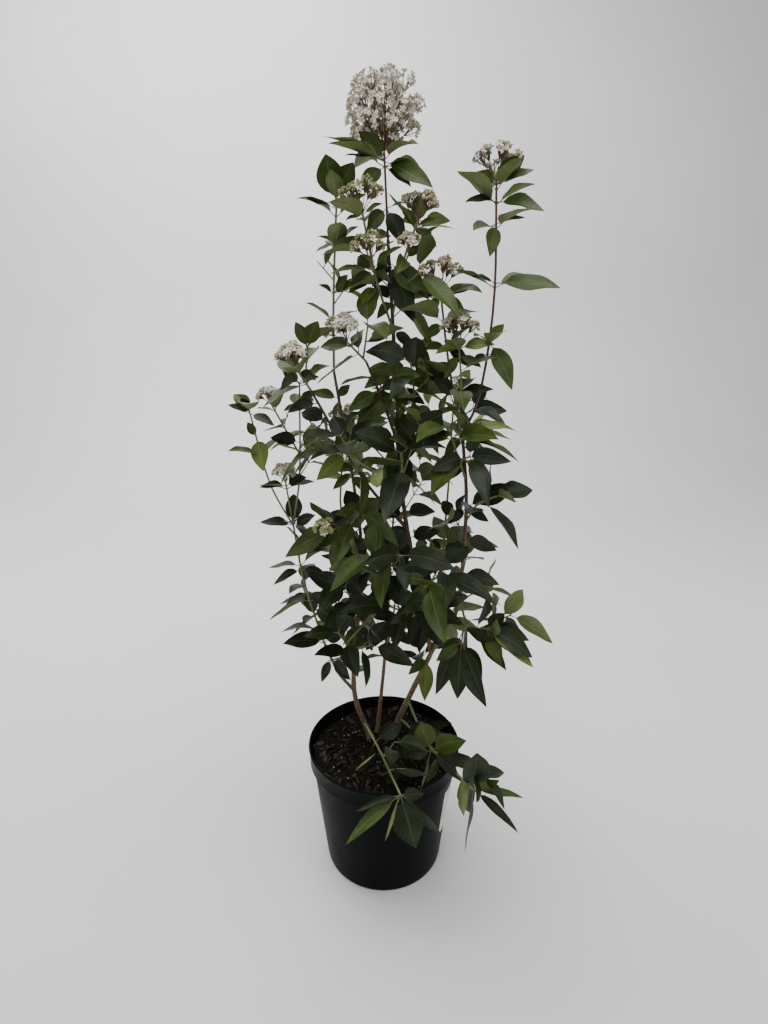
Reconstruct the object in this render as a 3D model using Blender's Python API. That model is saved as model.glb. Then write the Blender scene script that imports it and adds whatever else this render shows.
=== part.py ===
# Laurustinus in a nursery pot, in flower.
# The world origin is the centre of the pot's flat underside, +Z up, +X to the right of the front view.
# Places and sizes below are in centimetres and become metres when a mesh is made.

import bpy
import math
import numpy as np
from mathutils.bvhtree import BVHTree

CM = 0.01
CLEAR = 0.03            # gap between neighbouring solids

# Pot and soil
POT_HEIGHT = 14.5
POT_TOP_RADIUS = 8.9
POT_BASE_RADIUS = 6.9
POT_SHOULDER = 12.4     # height of the step under the rim band
POT_STEP = 0.4          # how far the rim band stands out
POT_WALL = 0.17
POT_FLOOR = 0.25
POT_SIDES = 36
SLOT_COUNT = 4          # drainage slots round the foot
SLOT_WIDTH = 1.0
SLOT_HEIGHT = 0.35
SLOT_DEPTH = 1.3
SOIL_TOP = 13.2

# Limbs and shoots
LIMB_STEP = 3.4         # length of one straight piece
SHOOT_STEP = 2.4
STRAIGHT_STEP = 20.0
SHOOT_RADIUS = (0.16, 0.12)
TWIG_RADIUS = (0.12, 0.10)
TWIG_MARGIN = 0.25      # radius kept clear round a side twig

# Leaves, as shares of their own length
LEAF_WIDTH = 0.45
LEAF_THICKNESS = 0.03
LEAF_MIDDLE = 0.50      # where it is widest
LEAF_SIZES = (1.0, 0.8, 0.62)
LEAF_MARGIN = 0.12      # clear space kept round a leaf
LEAF_STALK = 0.2        # share of a leaf that is bare stalk
ROOT_DEPTH = 0.03       # how far a leaf's root reaches past the middle of its shoot, in centimetres
TOP_JOINT = 0.12        # from a shoot's end to its topmost leaves, in centimetres
HEAD_JOINT = 0.75       # the same under a flower head
RISE = 58.0             # degrees between a young leaf and its shoot
DROOP = 0.30

# Flower heads
RAY_RADIUS = 0.055
KNOB_RADIUS = 0.27      # of the knob that the rays of a flower head grow from
GOLDEN_ANGLE = math.radians(137.508)
SEED = 41

# Woody limbs, each one tapering. "on" names the limb that carries it, "at" how far along.
LIMBS = {
    "right_stem": dict(foot=(1.0, 2.5, SOIL_TOP), via=[(2.9, 1.8, 18.5)], tip=(5.5, 1.0, 25.0),
                       radius=(0.40, 0.31), sides=8),
    "left_stem": dict(foot=(-1.7, 2.1, SOIL_TOP), via=[(-3.6, 1.6, 20.0), (-3.1, 2.2, 28.8)],
                      tip=(-2.7, 2.6, 39.3), radius=(0.34, 0.22), sides=8),
    "middle_stem": dict(foot=(-0.8, 3.2, SOIL_TOP), via=[(0.3, 3.8, 25.4)], tip=(0.8, 5.0, 35.3),
                        radius=(0.26, 0.16), sides=6),
    "main_stem": dict(on="right_stem", at=1.0, via=[(3.9, 0.4, 34.0), (2.1, 0.3, 44.0), (1.4, 0.4, 55.0)],
                      tip=(0.4, 0.0, 71.0), radius=(0.30, 0.17), sides=8),
    "right_bough": dict(on="right_stem", at=0.96, via=[(8.3, -1.0, 32.2), (8.8, -1.8, 43.5)],
                        tip=(8.2, -1.8, 51.5), radius=(0.25, 0.18), sides=6),
    "left_tall_bough": dict(on="left_stem", at=1.0, via=[(-3.6, 2.6, 46.4)], tip=(-5.4, 1.8, 57.9),
                            radius=(0.21, 0.16), sides=6),
    "left_bough": dict(on="left_stem", at=0.26, via=[(-5.4, 0.4, 23.1)], tip=(-6.9, -0.6, 27.5),
                       radius=(0.20, 0.16), sides=6),
    "diagonal_bough": dict(on="main_stem", at=0.34, via=[(-2.3, -2.0, 47.1)], tip=(-7.3, -4.0, 56.4),
                           radius=(0.20, 0.13), sides=6),
    "centre_bough": dict(on="main_stem", at=0.54, via=[(0.0, -0.5, 54.6)], tip=(-1.8, -1.4, 59.0),
                         radius=(0.18, 0.13), sides=6),
    "back_left_bough": dict(on="left_stem", at=0.55, via=[(-4.6, 5.4, 34.0)], tip=(-5.4, 8.0, 42.1),
                            radius=(0.18, 0.13), sides=6),
    "back_right_bough": dict(on="main_stem", at=0.10, via=[(6.8, 4.2, 34.0)], tip=(7.9, 7.5, 43.5),
                             radius=(0.19, 0.13), sides=6),
}

# Foliage masses. The first shoot of each is its stem, and the others branch from it.
# "nodes" are the leaf joints as shares of the shoot, "turn" the angle of the first leaf pair,
# "sprays" the number of seeded side twigs, and "head" the radius and height of a flower head.
MASSES = {
    "crown_head": [
        dict(name="a", on="main_stem", at=1.0, tip=(0.0, 0.0, 79.2), radius=(0.17, 0.13),
             nodes=(0.82, 0.97), turn=25, leaf=6.4, head=(3.7, 7.3), rays=26),
    ],
    "upper_left_foliage": [
        dict(name="a", on="main_stem", at=0.81, via=[(-0.7, -1.2, 66.8)], tip=(-2.1, -2.0, 73.1),
             nodes=(0.35, 0.62, 0.93), turn=70, leaf=5.2, head=(2.1, 3.0), rays=7),
        dict(name="b", on="a", at=0.30, tip=(-1.3, -3.0, 68.5), nodes=(0.9,), turn=10, leaf=4.2,
             head=(1.7, 2.6), rays=7),
    ],
    "upper_right_foliage": [
        dict(name="a", on="main_stem", at=0.84, via=[(1.9, -0.5, 68.9)], tip=(3.3, -1.0, 72.6),
             nodes=(0.45, 0.72, 0.95), turn=20, leaf=5.4, head=(1.9, 2.7), rays=7),
        dict(name="b", on="a", at=0.35, tip=(2.4, -2.4, 69.4), nodes=(0.85,), turn=60, leaf=3.6,
             head=(1.3, 1.8), rays=7),
        dict(name="c", on="a", at=0.12, tip=(3.4, -2.6, 67.6), nodes=(0.6, 1.0), turn=30, leaf=6.0),
    ],
    "left_tall_foliage": [
        dict(name="a", on="left_tall_bough", at=1.0, via=[(-5.3, 1.4, 65.4)], tip=(-4.8, 1.0, 74.9),
             nodes=(0.30, 0.72, 0.91, 1.0), turn=5, leaf=4.4, rise=48),
    ],
    "right_tall_foliage": [
        dict(name="a", on="right_bough", at=1.0, via=[(9.8, -2.0, 55.7), (10.8, -2.6, 65.0)],
             tip=(10.6, -2.6, 75.7), nodes=(0.02, 0.38, 0.61, 0.83, 0.92, 0.99), turn=15, leaf=5.6,
             head=(2.2, 3.4), rays=7),
    ],
    "right_heads_foliage": [
        dict(name="a", on="right_bough", at=0.94, via=[(6.6, -1.0, 59.2)], tip=(5.7, -1.0, 65.8),
             nodes=(0.30, 0.55, 0.78, 0.96), turn=40, leaf=5.6, head=(2.1, 3.3), rays=7),
        dict(name="b", on="a", at=0.05, via=[(7.8, -2.8, 56.3)], tip=(7.4, -3.0, 60.7),
             nodes=(0.35, 0.65, 0.95), turn=75, leaf=4.8, head=(1.9, 2.8), rays=7),
    ],
    "left_diagonal_foliage": [
        dict(name="a", on="diagonal_bough", at=1.0, tip=(-8.5, -4.6, 58.4), nodes=(0.25, 0.95), turn=30,
             leaf=5.0, head=(1.5, 2.4), rays=7),
        dict(name="b", on="a", at=0.35, tip=(-7.5, -3.8, 60.6), nodes=(0.5, 1.0), turn=70, leaf=4.0, rise=40),
    ],
    "left_centre_foliage": [
        dict(name="a", on="centre_bough", at=1.0, tip=(-3.7, -2.4, 61.0), nodes=(0.4, 0.95), turn=50,
             leaf=4.8, head=(1.9, 2.6), rays=7),
        dict(name="b", on="a", at=0.15, tip=(-1.6, -3.0, 62.6), nodes=(0.5, 1.0), turn=10, leaf=5.2),
    ],
    "left_shoot_foliage": [
        dict(name="a", on="left_bough", at=1.0, via=[(-8.8, -1.6, 35.2)], tip=(-9.7, -2.4, 42.2),
             nodes=(0.10, 0.22, 0.36, 0.50, 0.66, 0.98), turn=0, leaf=4.3),
        dict(name="b", on="a", at=0.98, via=[(-11.9, -3.0, 46.7)], tip=(-13.4, -4.0, 54.2),
             nodes=(0.63, 1.0), turn=35, leaf=4.4),
        dict(name="c", on="a", at=0.97, tip=(-10.2, -3.2, 46.8), nodes=(0.92,), turn=20, leaf=3.4,
             head=(1.2, 1.9), rays=7),
        dict(name="d", on="a", at=0.99, via=[(-8.9, -2.0, 47.3)], tip=(-8.7, -1.5, 57.0),
             nodes=(0.52, 0.80, 1.0), turn=25, leaf=4.4),
        dict(name="e", on="d", at=0.50, tip=(-11.6, -1.8, 54.7), nodes=(0.55, 0.95), turn=60, leaf=3.2,
             head=(1.2, 1.8), rays=7),
    ],
    "centre_front_foliage": [
        dict(name="a", on="main_stem", at=0.45, via=[(1.9, -2.4, 47.6)], tip=(1.7, -4.8, 50.2),
             nodes=(0.6, 1.0), turn=80, leaf=6.6),
        dict(name="b", on="a", at=0.35, tip=(3.6, -4.0, 52.9), nodes=(0.5, 0.75, 1.0), turn=20, leaf=5.2),
    ],
    "centre_left_foliage": [
        dict(name="a", on="diagonal_bough", at=0.45, tip=(-4.3, -5.0, 52.0), nodes=(0.5, 0.75, 1.0), turn=15,
             leaf=4.6),
        dict(name="b", on="a", at=0.25, tip=(-1.2, -5.0, 48.5), nodes=(0.5, 1.0), turn=50, leaf=4.6),
    ],
    "left_middle_foliage": [
        dict(name="a", on="left_stem", at=0.96, via=[(-3.8, 0.4, 41.0)], tip=(-5.9, -3.0, 41.4),
             nodes=(0.5, 0.75, 0.98), turn=30, leaf=5.2, head=(1.1, 1.7), rays=7),
        dict(name="b", on="a", at=0.45, tip=(-2.6, -3.4, 43.5), nodes=(0.5, 1.0), turn=70, leaf=4.6),
    ],
    "right_middle_foliage": [
        dict(name="a", on="main_stem", at=0.63, tip=(4.6, -2.0, 57.5), nodes=(0.4, 0.7, 1.0), turn=35,
             leaf=5.6),
        dict(name="b", on="a", at=0.5, tip=(2.6, -3.8, 59.0), nodes=(0.6, 1.0), turn=75, leaf=5.4),
    ],
    "right_inner_foliage": [
        dict(name="a", on="right_bough", at=0.80, tip=(6.2, -5.4, 53.0), nodes=(0.35, 0.7, 1.0), turn=60,
             leaf=5.6),
        dict(name="b", on="a", at=0.3, tip=(8.4, -5.8, 50.0), nodes=(0.6, 1.0), turn=10, leaf=5.0),
    ],
    "right_side_foliage": [
        dict(name="a", on="right_bough", at=0.60, via=[(9.8, -3.2, 44.6)], tip=(11.6, -3.8, 45.5),
             nodes=(0.35, 0.7, 1.0), turn=40, leaf=5.0),
    ],
    "lower_left_foliage": [
        dict(name="a", on="left_stem", at=0.40, via=[(-4.0, -1.6, 27.4)], tip=(-5.0, -4.0, 30.4),
             nodes=(0.4, 0.7, 1.0), turn=20, leaf=4.8, sprays=1),
        dict(name="b", on="a", at=0.45, tip=(-1.2, -4.2, 29.0), nodes=(0.55, 1.0), turn=65, leaf=5.0),
    ],
    "lower_left_upper_foliage": [
        dict(name="a", on="left_stem", at=0.62, via=[(-3.6, -0.6, 32.4)], tip=(-4.2, -3.2, 35.4),
             nodes=(0.45, 0.75, 1.0), turn=50, leaf=5.2, sprays=1),
    ],
    "lower_centre_foliage": [
        dict(name="a", on="main_stem", at=0.13, via=[(3.0, -2.4, 31.4)], tip=(1.4, -5.2, 34.0),
             nodes=(0.4, 0.7, 1.0), turn=10, leaf=5.6, sprays=2),
    ],
    "centre_low_front_foliage": [
        dict(name="a", on="main_stem", at=0.24, via=[(1.2, -2.4, 37.2)], tip=(-0.9, -4.8, 39.6),
             nodes=(0.4, 0.7, 1.0), turn=30, leaf=6.0, sprays=2),
    ],
    "centre_low_right_foliage": [
        dict(name="a", on="main_stem", at=0.20, via=[(5.2, -2.6, 35.6)], tip=(6.2, -5.2, 38.2),
             nodes=(0.4, 0.7, 1.0), turn=70, leaf=6.0, sprays=2),
    ],
    "lower_right_foliage": [
        dict(name="a", on="right_bough", at=0.22, via=[(9.4, -2.6, 30.2)], tip=(11.4, -4.2, 31.0),
             nodes=(0.4, 0.7, 1.0), turn=10, leaf=5.2, sprays=1),
        dict(name="b", on="a", at=0.35, tip=(8.2, -5.4, 30.0), nodes=(0.5, 1.0), turn=50, leaf=5.4),
    ],
    "front_low_foliage": [
        dict(name="a", on="right_stem", at=0.45, via=[(3.9, -2.8, 18.4)], tip=(5.2, -6.0, 17.4),
             nodes=(0.55, 0.8, 1.0), turn=30, leaf=4.8),
    ],
    "front_rim_foliage": [
        dict(name="a", on="left_stem", at=0.09, via=[(-0.6, -5.0, 17.0), (0.6, -8.2, 16.6)],
             tip=(1.7, -10.4, 15.6), nodes=(0.42, 0.60, 0.78, 1.0), turn=50, leaf=4.8, rise=66),
    ],
    "right_rim_foliage": [
        dict(name="a", on="right_stem", at=0.22, via=[(5.6, -4.6, 16.4), (7.2, -6.8, 16.0)],
             tip=(9.6, -8.4, 14.4), nodes=(0.62, 0.85, 1.0), turn=10, leaf=4.8, rise=66),
    ],
    "back_centre_foliage": [
        dict(name="a", on="middle_stem", at=1.0, via=[(1.4, 6.4, 44.0)], tip=(1.9, 7.0, 53.0),
             nodes=(0.25, 0.5, 0.75, 0.98), turn=30, leaf=5.4, sprays=3, head=(1.9, 2.7), rays=7),
    ],
    "back_left_foliage": [
        dict(name="a", on="back_left_bough", at=1.0, tip=(-4.9, 8.8, 51.0), nodes=(0.25, 0.6, 0.98),
             turn=60, leaf=5.2, sprays=3, head=(1.8, 2.6), rays=7),
    ],
    "back_right_foliage": [
        dict(name="a", on="back_right_bough", at=1.0, tip=(8.4, 8.4, 54.0), nodes=(0.25, 0.6, 0.98),
             turn=20, leaf=5.2, sprays=3, head=(1.9, 2.7), rays=7),
    ],
    "back_low_left_foliage": [
        dict(name="a", on="left_stem", at=0.34, via=[(-5.2, 5.4, 26.0)], tip=(-6.6, 8.6, 30.0),
             nodes=(0.4, 0.7, 1.0), turn=40, leaf=5.2, sprays=3),
    ],
    "back_low_right_foliage": [
        dict(name="a", on="right_stem", at=0.80, via=[(7.0, 4.4, 26.4)], tip=(9.2, 8.0, 30.0),
             nodes=(0.4, 0.7, 1.0), turn=70, leaf=5.2, sprays=3),
    ],
    "back_low_centre_foliage": [
        dict(name="a", on="middle_stem", at=0.45, via=[(1.2, 6.6, 27.0)], tip=(1.8, 10.0, 31.0),
             nodes=(0.4, 0.7, 1.0), turn=10, leaf=5.4, sprays=3),
    ],
}

# Finishes: base colour, roughness
FINISHES = {
    "pot_plastic": ((0.018, 0.020, 0.023), 0.55),
    "soil": ((0.030, 0.019, 0.013), 0.95),
    "bark": ((0.170, 0.110, 0.065), 0.80),
    "foliage": ((0.060, 0.115, 0.030), 0.45),
    "blossom": ((0.560, 0.480, 0.380), 0.70),
}


def unit(v):
    return v / np.linalg.norm(v)


def course(points, step):
    """Smooth line through the points, in even lengths of about one step."""
    p = np.array(points, float)
    p = np.vstack([2 * p[0] - p[1], p, 2 * p[-1] - p[-2]])
    t = np.linspace(0, 1, 12, endpoint=False)[:, None]
    spans = [0.5 * (2 * b + (c - a) * t + (2 * a - 5 * b + 4 * c - d) * t**2 + (3 * b - a - 3 * c + d) * t**3)
             for a, b, c, d in zip(p, p[1:], p[2:], p[3:])]
    line = np.vstack(spans + [p[-2:-1]])
    run = np.insert(np.cumsum(np.linalg.norm(np.diff(line, axis=0), axis=1)), 0, 0)
    even = np.linspace(0, run[-1], 2 + int(run[-1] / step))
    return np.stack([np.interp(even, run, line[:, k]) for k in range(3)], axis=1)


def length_of(line):
    return np.linalg.norm(np.diff(line, axis=0), axis=1).sum()


def place_on(line, share):
    """Point and direction at a share of a line's length."""
    step = share * (len(line) - 1)
    low = min(int(step), len(line) - 2)
    span = line[low + 1] - line[low]
    return line[low] + span * (step - low), unit(span)


def frame_of(axis):
    """Two directions square to an axis, the first one as near +X as it can be."""
    east = np.array([1.0, 0.0, 0.0]) if abs(axis[0]) < 0.9 else np.array([0.0, 1.0, 0.0])
    first = unit(east - axis * (east @ axis))
    return first, np.cross(axis, first)


def tube(line, radii, sides, flare=0.0):
    """Closed tapering tube along a line, with a flared foot where flare is above nought."""
    corners = np.arange(sides) * (2 * math.pi / sides)
    last = len(line) - 1
    rings = []
    for k, centre in enumerate(line):
        axis = unit(line[min(k + 1, last)] - line[max(k - 1, 0)])
        if flare and k == 0:
            axis = np.array([0.0, 0.0, 1.0])
        first, second = frame_of(axis)
        radius = radii[0] + (radii[1] - radii[0]) * k / last
        radius += flare * math.exp(-k / last * length_of(line) / 0.7)
        rings.append(centre + radius * (np.cos(corners)[:, None] * first + np.sin(corners)[:, None] * second))
    faces = [tuple(reversed(range(sides)))]
    for low in range(0, last * sides, sides):
        faces += [(low + i, low + (i + 1) % sides, low + sides + (i + 1) % sides, low + sides + i)
                  for i in range(sides)]
    faces.append(tuple(range(last * sides, (last + 1) * sides)))
    return np.vstack(rings), faces


def leaf_shape(base, axis, azimuth, rise, length, droop, roll, margin=0.0, stalk=0.0):
    """Arching pointed leaf of eight faces, its root sunk in the shoot."""
    first, second = frame_of(axis)
    out = math.cos(azimuth) * first + math.sin(azimuth) * second
    along = math.cos(rise) * axis + math.sin(rise) * out
    side = unit(np.cross(along, axis))
    top = np.cross(side, along)
    side = math.cos(roll) * side + math.sin(roll) * top
    top = np.cross(side, along)
    down = np.array([0.0, 0.0, -droop])

    def rib(share):
        return base + length * (share * along + share**2 * down)

    half = 0.5 * LEAF_WIDTH * length + margin
    thick = 0.5 * LEAF_THICKNESS * length + margin
    middle = rib(LEAF_MIDDLE)
    points = np.array([rib(stalk) - ROOT_DEPTH * along, middle - half * side, rib(1.0) + margin * along,
                       middle + half * side, middle + thick * top, middle - thick * top])
    faces = [(k, 4, (k + 1) % 4) for k in range(4)] + [((k + 1) % 4, 5, k) for k in range(4)]
    return points, faces


def flower_head(hub, axis, radius, height, rays, seed):
    """Rays from a knob at the shoot's end, each a slim stalk that swells into a blunt cluster of flowers."""
    rng = np.random.default_rng(seed)
    first, second = frame_of(axis)
    ball = height > 1.8 * radius
    swell = (0.19 if ball else 0.26) * radius
    knob = [hub + KNOB_RADIUS * way for way in (first, second, -first, -second, axis, -axis)]
    pieces = [(np.array(knob), [(k, (k + 1) % 4, 4) for k in range(4)] + [((k + 1) % 4, k, 5) for k in range(4)])]
    for k in range(rays):
        share = (k + 0.5) / rays
        wobble = rng.uniform(-1, 1, 2)
        turn = k * GOLDEN_ANGLE + 0.25 * wobble[0]
        if ball:
            polar = math.acos(1 - 1.62 * share)
            rise = height - radius * (1 - math.cos(polar))
        else:
            polar = math.acos(1 - 0.72 * share)
            rise = height * (0.58 + 0.42 * math.cos(1.25 * polar))
        out = math.cos(turn) * first + math.sin(turn) * second
        end = hub + (rise * axis + radius * math.sin(polar) * out) * (1 + 0.05 * wobble[1])
        span = np.linalg.norm(end - hub)
        ray_axis = (end - hub) / span
        across, over = frame_of(ray_axis)
        corners = np.arange(3) * (2 * math.pi / 3) + turn
        ring = np.cos(corners)[:, None] * across + np.sin(corners)[:, None] * over
        levels = [(0.4 * KNOB_RADIUS, RAY_RADIUS), (span - 1.7 * swell, RAY_RADIUS), (span - 0.3 * swell, swell)]
        points = [hub + ray_axis * at + ring * wide for at, wide in levels] + [end[None] + 0.5 * swell * ray_axis]
        faces = [(2, 1, 0)]
        for low in (0, 3):
            faces += [(low + i, low + (i + 1) % 3, low + 3 + (i + 1) % 3, low + 3 + i) for i in range(3)]
        faces += [(6 + i, 6 + (i + 1) % 3, 9) for i in range(3)]
        pieces.append((np.vstack(points), faces))
    return pieces


def seated_start(carrier, carrier_radius, share, target, own_radius):
    """Where a shoot starts so that its foot clears the limb that carries it by the usual gap."""
    point, axis = place_on(carrier, share)
    heading = unit(np.array(target) - point)
    slope = heading @ axis
    sine = math.sqrt(1 - slope**2)
    if share >= 1.0:
        return point + axis * (CLEAR + 1.3 * own_radius * sine)
    return point + heading * (carrier_radius + CLEAR + own_radius * abs(slope)) / sine


def finish_of(name):
    """Plain material from the table of finishes."""
    material = bpy.data.materials.get(name)
    if material is None:
        colour, roughness = FINISHES[name]
        material = bpy.data.materials.new(name)
        material.use_nodes = True
        shader = material.node_tree.nodes["Principled BSDF"]
        shader.inputs["Base Color"].default_value = (*colour, 1.0)
        shader.inputs["Roughness"].default_value = roughness
        shader.inputs["Metallic"].default_value = 0.0
    return material


def new_object(name, points, faces, finish):
    """Object from points in centimetres, with its origin at the world's."""
    mesh = bpy.data.meshes.new(name)
    mesh.from_pydata((np.asarray(points) * CM).tolist(), [], faces)
    mesh.update()
    body = bpy.data.objects.new(name, mesh)
    mesh.materials.append(finish_of(finish))
    bpy.context.scene.collection.objects.link(body)
    return body


def tree_of(pieces):
    """Search tree over the faces of several shapes."""
    points, faces, first = [], [], 0
    for piece_points, piece_faces in pieces:
        points += [tuple(p) for p in piece_points]
        faces += [tuple(first + i for i in face) for face in piece_faces]
        first = len(points)
    return BVHTree.FromPolygons(points, faces)


def apply_modifiers(body):
    """Replace an object's mesh by the one its modifiers give."""
    shown = body.evaluated_get(bpy.context.evaluated_depsgraph_get())
    mesh = bpy.data.meshes.new_from_object(shown)
    body.modifiers.clear()
    body.data = mesh


def fuse(name, pieces, finish):
    """One closed body from overlapping shapes, by a Boolean union with their collection."""
    others = bpy.data.collections.new(name + "_pieces")
    bpy.context.scene.collection.children.link(others)
    body = new_object(name, *pieces[0], finish)
    for points, faces in pieces[1:]:
        piece = new_object(name + "_piece", points, faces, finish)
        bpy.context.scene.collection.objects.unlink(piece)
        others.objects.link(piece)
    union = body.modifiers.new("union", "BOOLEAN")
    union.operation = "UNION"
    union.operand_type = "COLLECTION"
    union.collection = others
    union.solver = "MANIFOLD"
    apply_modifiers(body)
    for piece in list(others.objects):
        bpy.data.objects.remove(piece)
    bpy.data.collections.remove(others)
    return body


def side_twigs(shoot, line, seed):
    """Seeded side twigs of a shoot, spread round it by the golden angle."""
    rng = np.random.default_rng(seed)
    twigs = []
    for k in range(shoot.get("sprays", 0)):
        draw = rng.uniform(-1, 1, 4)
        share = 0.40 + 0.45 * (k + 0.5 + 0.3 * draw[0]) / shoot["sprays"]
        point, axis = place_on(line, share)
        first, second = frame_of(axis)
        turn = k * GOLDEN_ANGLE + math.radians(shoot["turn"]) + 0.4 * draw[1]
        lean = math.radians(52 + 12 * draw[2])
        heading = math.cos(lean) * axis + math.sin(lean) * (math.cos(turn) * first + math.sin(turn) * second)
        tip = point + (4.6 + 0.8 * draw[3]) * heading
        twigs.append(dict(name="%s_spray%d" % (shoot["name"], k), on=shoot["name"], at=share, tip=tuple(tip),
                          nodes=(0.45, 0.72, 1.0), turn=math.degrees(turn), leaf=0.92 * shoot["leaf"]))
    return twigs


def build_limbs():
    """Lines, radii and shapes of the woody limbs."""
    lines, shapes = {}, {}
    for name, limb in LIMBS.items():
        via = limb["via"]
        if "on" in limb:
            carrier = LIMBS[limb["on"]]
            share = limb["at"]
            thickness = carrier["radius"][0] + (carrier["radius"][1] - carrier["radius"][0]) * share
            start = seated_start(lines[limb["on"]], thickness, share, via[0], limb["radius"][0])
            flare = 0.0
        else:
            start = np.array(limb["foot"]) + (0, 0, CLEAR)
            flare = 0.6 * limb["radius"][0]
        lines[name] = course([start, *via, limb["tip"]], LIMB_STEP)
        shapes[name] = tube(lines[name], limb["radius"], limb["sides"], flare)
    return lines, shapes


def grow_shoot(shoot, limb_lines, lines):
    """Line and tube of a shoot that starts on a limb or on another shoot of its mass."""
    radius = shoot.get("radius", SHOOT_RADIUS if shoot["on"] in LIMBS else TWIG_RADIUS)
    via = shoot.get("via", [])
    if shoot["on"] in LIMBS:
        carrier = LIMBS[shoot["on"]]
        thick = carrier["radius"][0] + (carrier["radius"][1] - carrier["radius"][0]) * shoot["at"]
        target = (via + [shoot["tip"]])[0]
        start = seated_start(limb_lines[shoot["on"]], thick, shoot["at"], target, radius[0])
    else:
        start = place_on(lines[shoot["on"]], shoot["at"])[0]
    line = course([start, *via, shoot["tip"]], SHOOT_STEP if via else STRAIGHT_STEP)
    return line, tube(line, radius, 3)


def build_skeletons(limb_lines, limb_shapes):
    """Shoots of every mass with their lines, tubes and flower heads, before any leaf."""
    masses = {}
    for index, (name, shoots) in enumerate(MASSES.items()):
        lines, pieces, grown = {}, [], []
        for shoot in shoots:
            seed = [SEED, index, len(grown)]
            line, shape = grow_shoot(shoot, limb_lines, lines)
            lines[shoot["name"]] = line
            pieces.append(shape)
            if "head" in shoot:
                axis = unit(place_on(line, 1.0)[1] + (0, 0, 1.0))
                pieces += flower_head(line[-1], axis, *shoot["head"], shoot["rays"], seed)
            grown.append((shoot, line, seed))
        masses[name] = dict(pieces=pieces, shoots=grown)
    for index, (name, mass) in enumerate(masses.items()):
        taken = [piece for other, rest in masses.items() if other != name for piece in rest["pieces"]]
        taken = tree_of(taken + list(limb_shapes.values()))
        for parent, line, seed in list(mass["shoots"]):
            for twig in side_twigs(parent, line, seed):
                twig_line, shape = grow_shoot(twig, limb_lines, {twig["on"]: line})
                if tree_of([tube(twig_line, (TWIG_MARGIN, TWIG_MARGIN), 6)]).overlap(taken):
                    continue
                mass["pieces"].append(shape)
                mass["shoots"].append((twig, twig_line, [SEED, index, len(mass["shoots"])]))
    return masses


def leaf_places(shoot, line, seed):
    """Opposite leaves at each joint of a shoot, every pair turned a quarter from the one below."""
    rng = np.random.default_rng(seed)
    top = 1 - (HEAD_JOINT if "head" in shoot else TOP_JOINT) / length_of(line)
    for k, share in enumerate(shoot["nodes"]):
        base, axis = place_on(line, min(share, top))
        for side in (0, 1):
            draw = rng.uniform(-1, 1, 5)
            azimuth = math.radians(shoot["turn"] + 90 * k + 180 * side + 14 * draw[0])
            rise = math.radians(shoot.get("rise", RISE) + 12 * draw[1] - 12 * (share > 0.97))
            length = shoot["leaf"] * (1 + 0.16 * draw[2])
            droop = DROOP + 0.16 * draw[3]
            yield base, axis, azimuth, rise, length, droop, 0.35 * draw[4]


def grow_leaves(masses, limb_shapes):
    """Leaves of each mass in turn. One that would touch a neighbour is tried smaller, then left out."""
    fixed = list(limb_shapes.values()) + pot_guard()
    count = 0
    for name, mass in masses.items():
        others = [piece for other, rest in masses.items() if other != name for piece in rest["pieces"]]
        neighbours = [tree_of(fixed), tree_of(others)]
        own = [tree_of(mass["pieces"])]
        for shoot, line, seed in mass["shoots"]:
            for base, axis, azimuth, rise, length, droop, roll in leaf_places(shoot, line, seed):
                for size in LEAF_SIZES:
                    place = (base, axis, azimuth, rise, size * length, droop, roll)
                    whole = tree_of([leaf_shape(*place, LEAF_MARGIN)])
                    blade = tree_of([leaf_shape(*place, LEAF_MARGIN / 2, LEAF_STALK)])
                    if any(whole.overlap(tree) for tree in neighbours) or any(blade.overlap(tree) for tree in own):
                        continue
                    leaf = leaf_shape(*place)
                    mass["pieces"].append(leaf)
                    own.append(tree_of([leaf_shape(*place, 0.0, LEAF_STALK)]))
                    count += 1
                    break
    return count


def pot_guard():
    """Plain shapes of the pot and soil that leaves keep clear of."""
    rim = 40
    corners = np.arange(rim) * (2 * math.pi / rim)
    circle = np.stack([np.cos(corners), np.sin(corners), 0 * corners], axis=1)
    levels = [(POT_BASE_RADIUS, 0.0), (POT_TOP_RADIUS, POT_SHOULDER), (POT_TOP_RADIUS + 0.05, POT_HEIGHT),
              (POT_TOP_RADIUS - 0.3, POT_HEIGHT), (POT_TOP_RADIUS - 0.4, SOIL_TOP + 0.02)]
    points = np.vstack([circle * radius + (0, 0, height) for radius, height in levels])
    faces = []
    for low in range(0, rim * (len(levels) - 1), rim):
        faces += [(low + k, low + (k + 1) % rim, low + rim + (k + 1) % rim, low + rim + k) for k in range(rim)]
    faces.append(tuple(range(rim * (len(levels) - 1), rim * len(levels))))
    return [(points, faces)]


def turned(name, profile, finish):
    """Solid of revolution from a profile that starts on the axis and ends on it."""
    body = new_object(name, [(r, 0, z) for r, z in profile], [], finish)
    edges = [(k, k + 1) for k in range(len(profile) - 1)]
    body.data.clear_geometry()
    body.data.from_pydata([(r * CM, 0, z * CM) for r, z in profile], edges, [])
    screw = body.modifiers.new("turn", "SCREW")
    screw.steps = POT_SIDES
    screw.render_steps = POT_SIDES
    screw.use_merge_vertices = True
    screw.merge_threshold = 0.0001
    apply_modifiers(body)
    return body


def inner_radius(height):
    """Radius of the pot's inside below its shoulder."""
    slope = (POT_TOP_RADIUS - POT_STEP - POT_BASE_RADIUS) / POT_SHOULDER
    return POT_BASE_RADIUS + slope * height - POT_WALL


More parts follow.
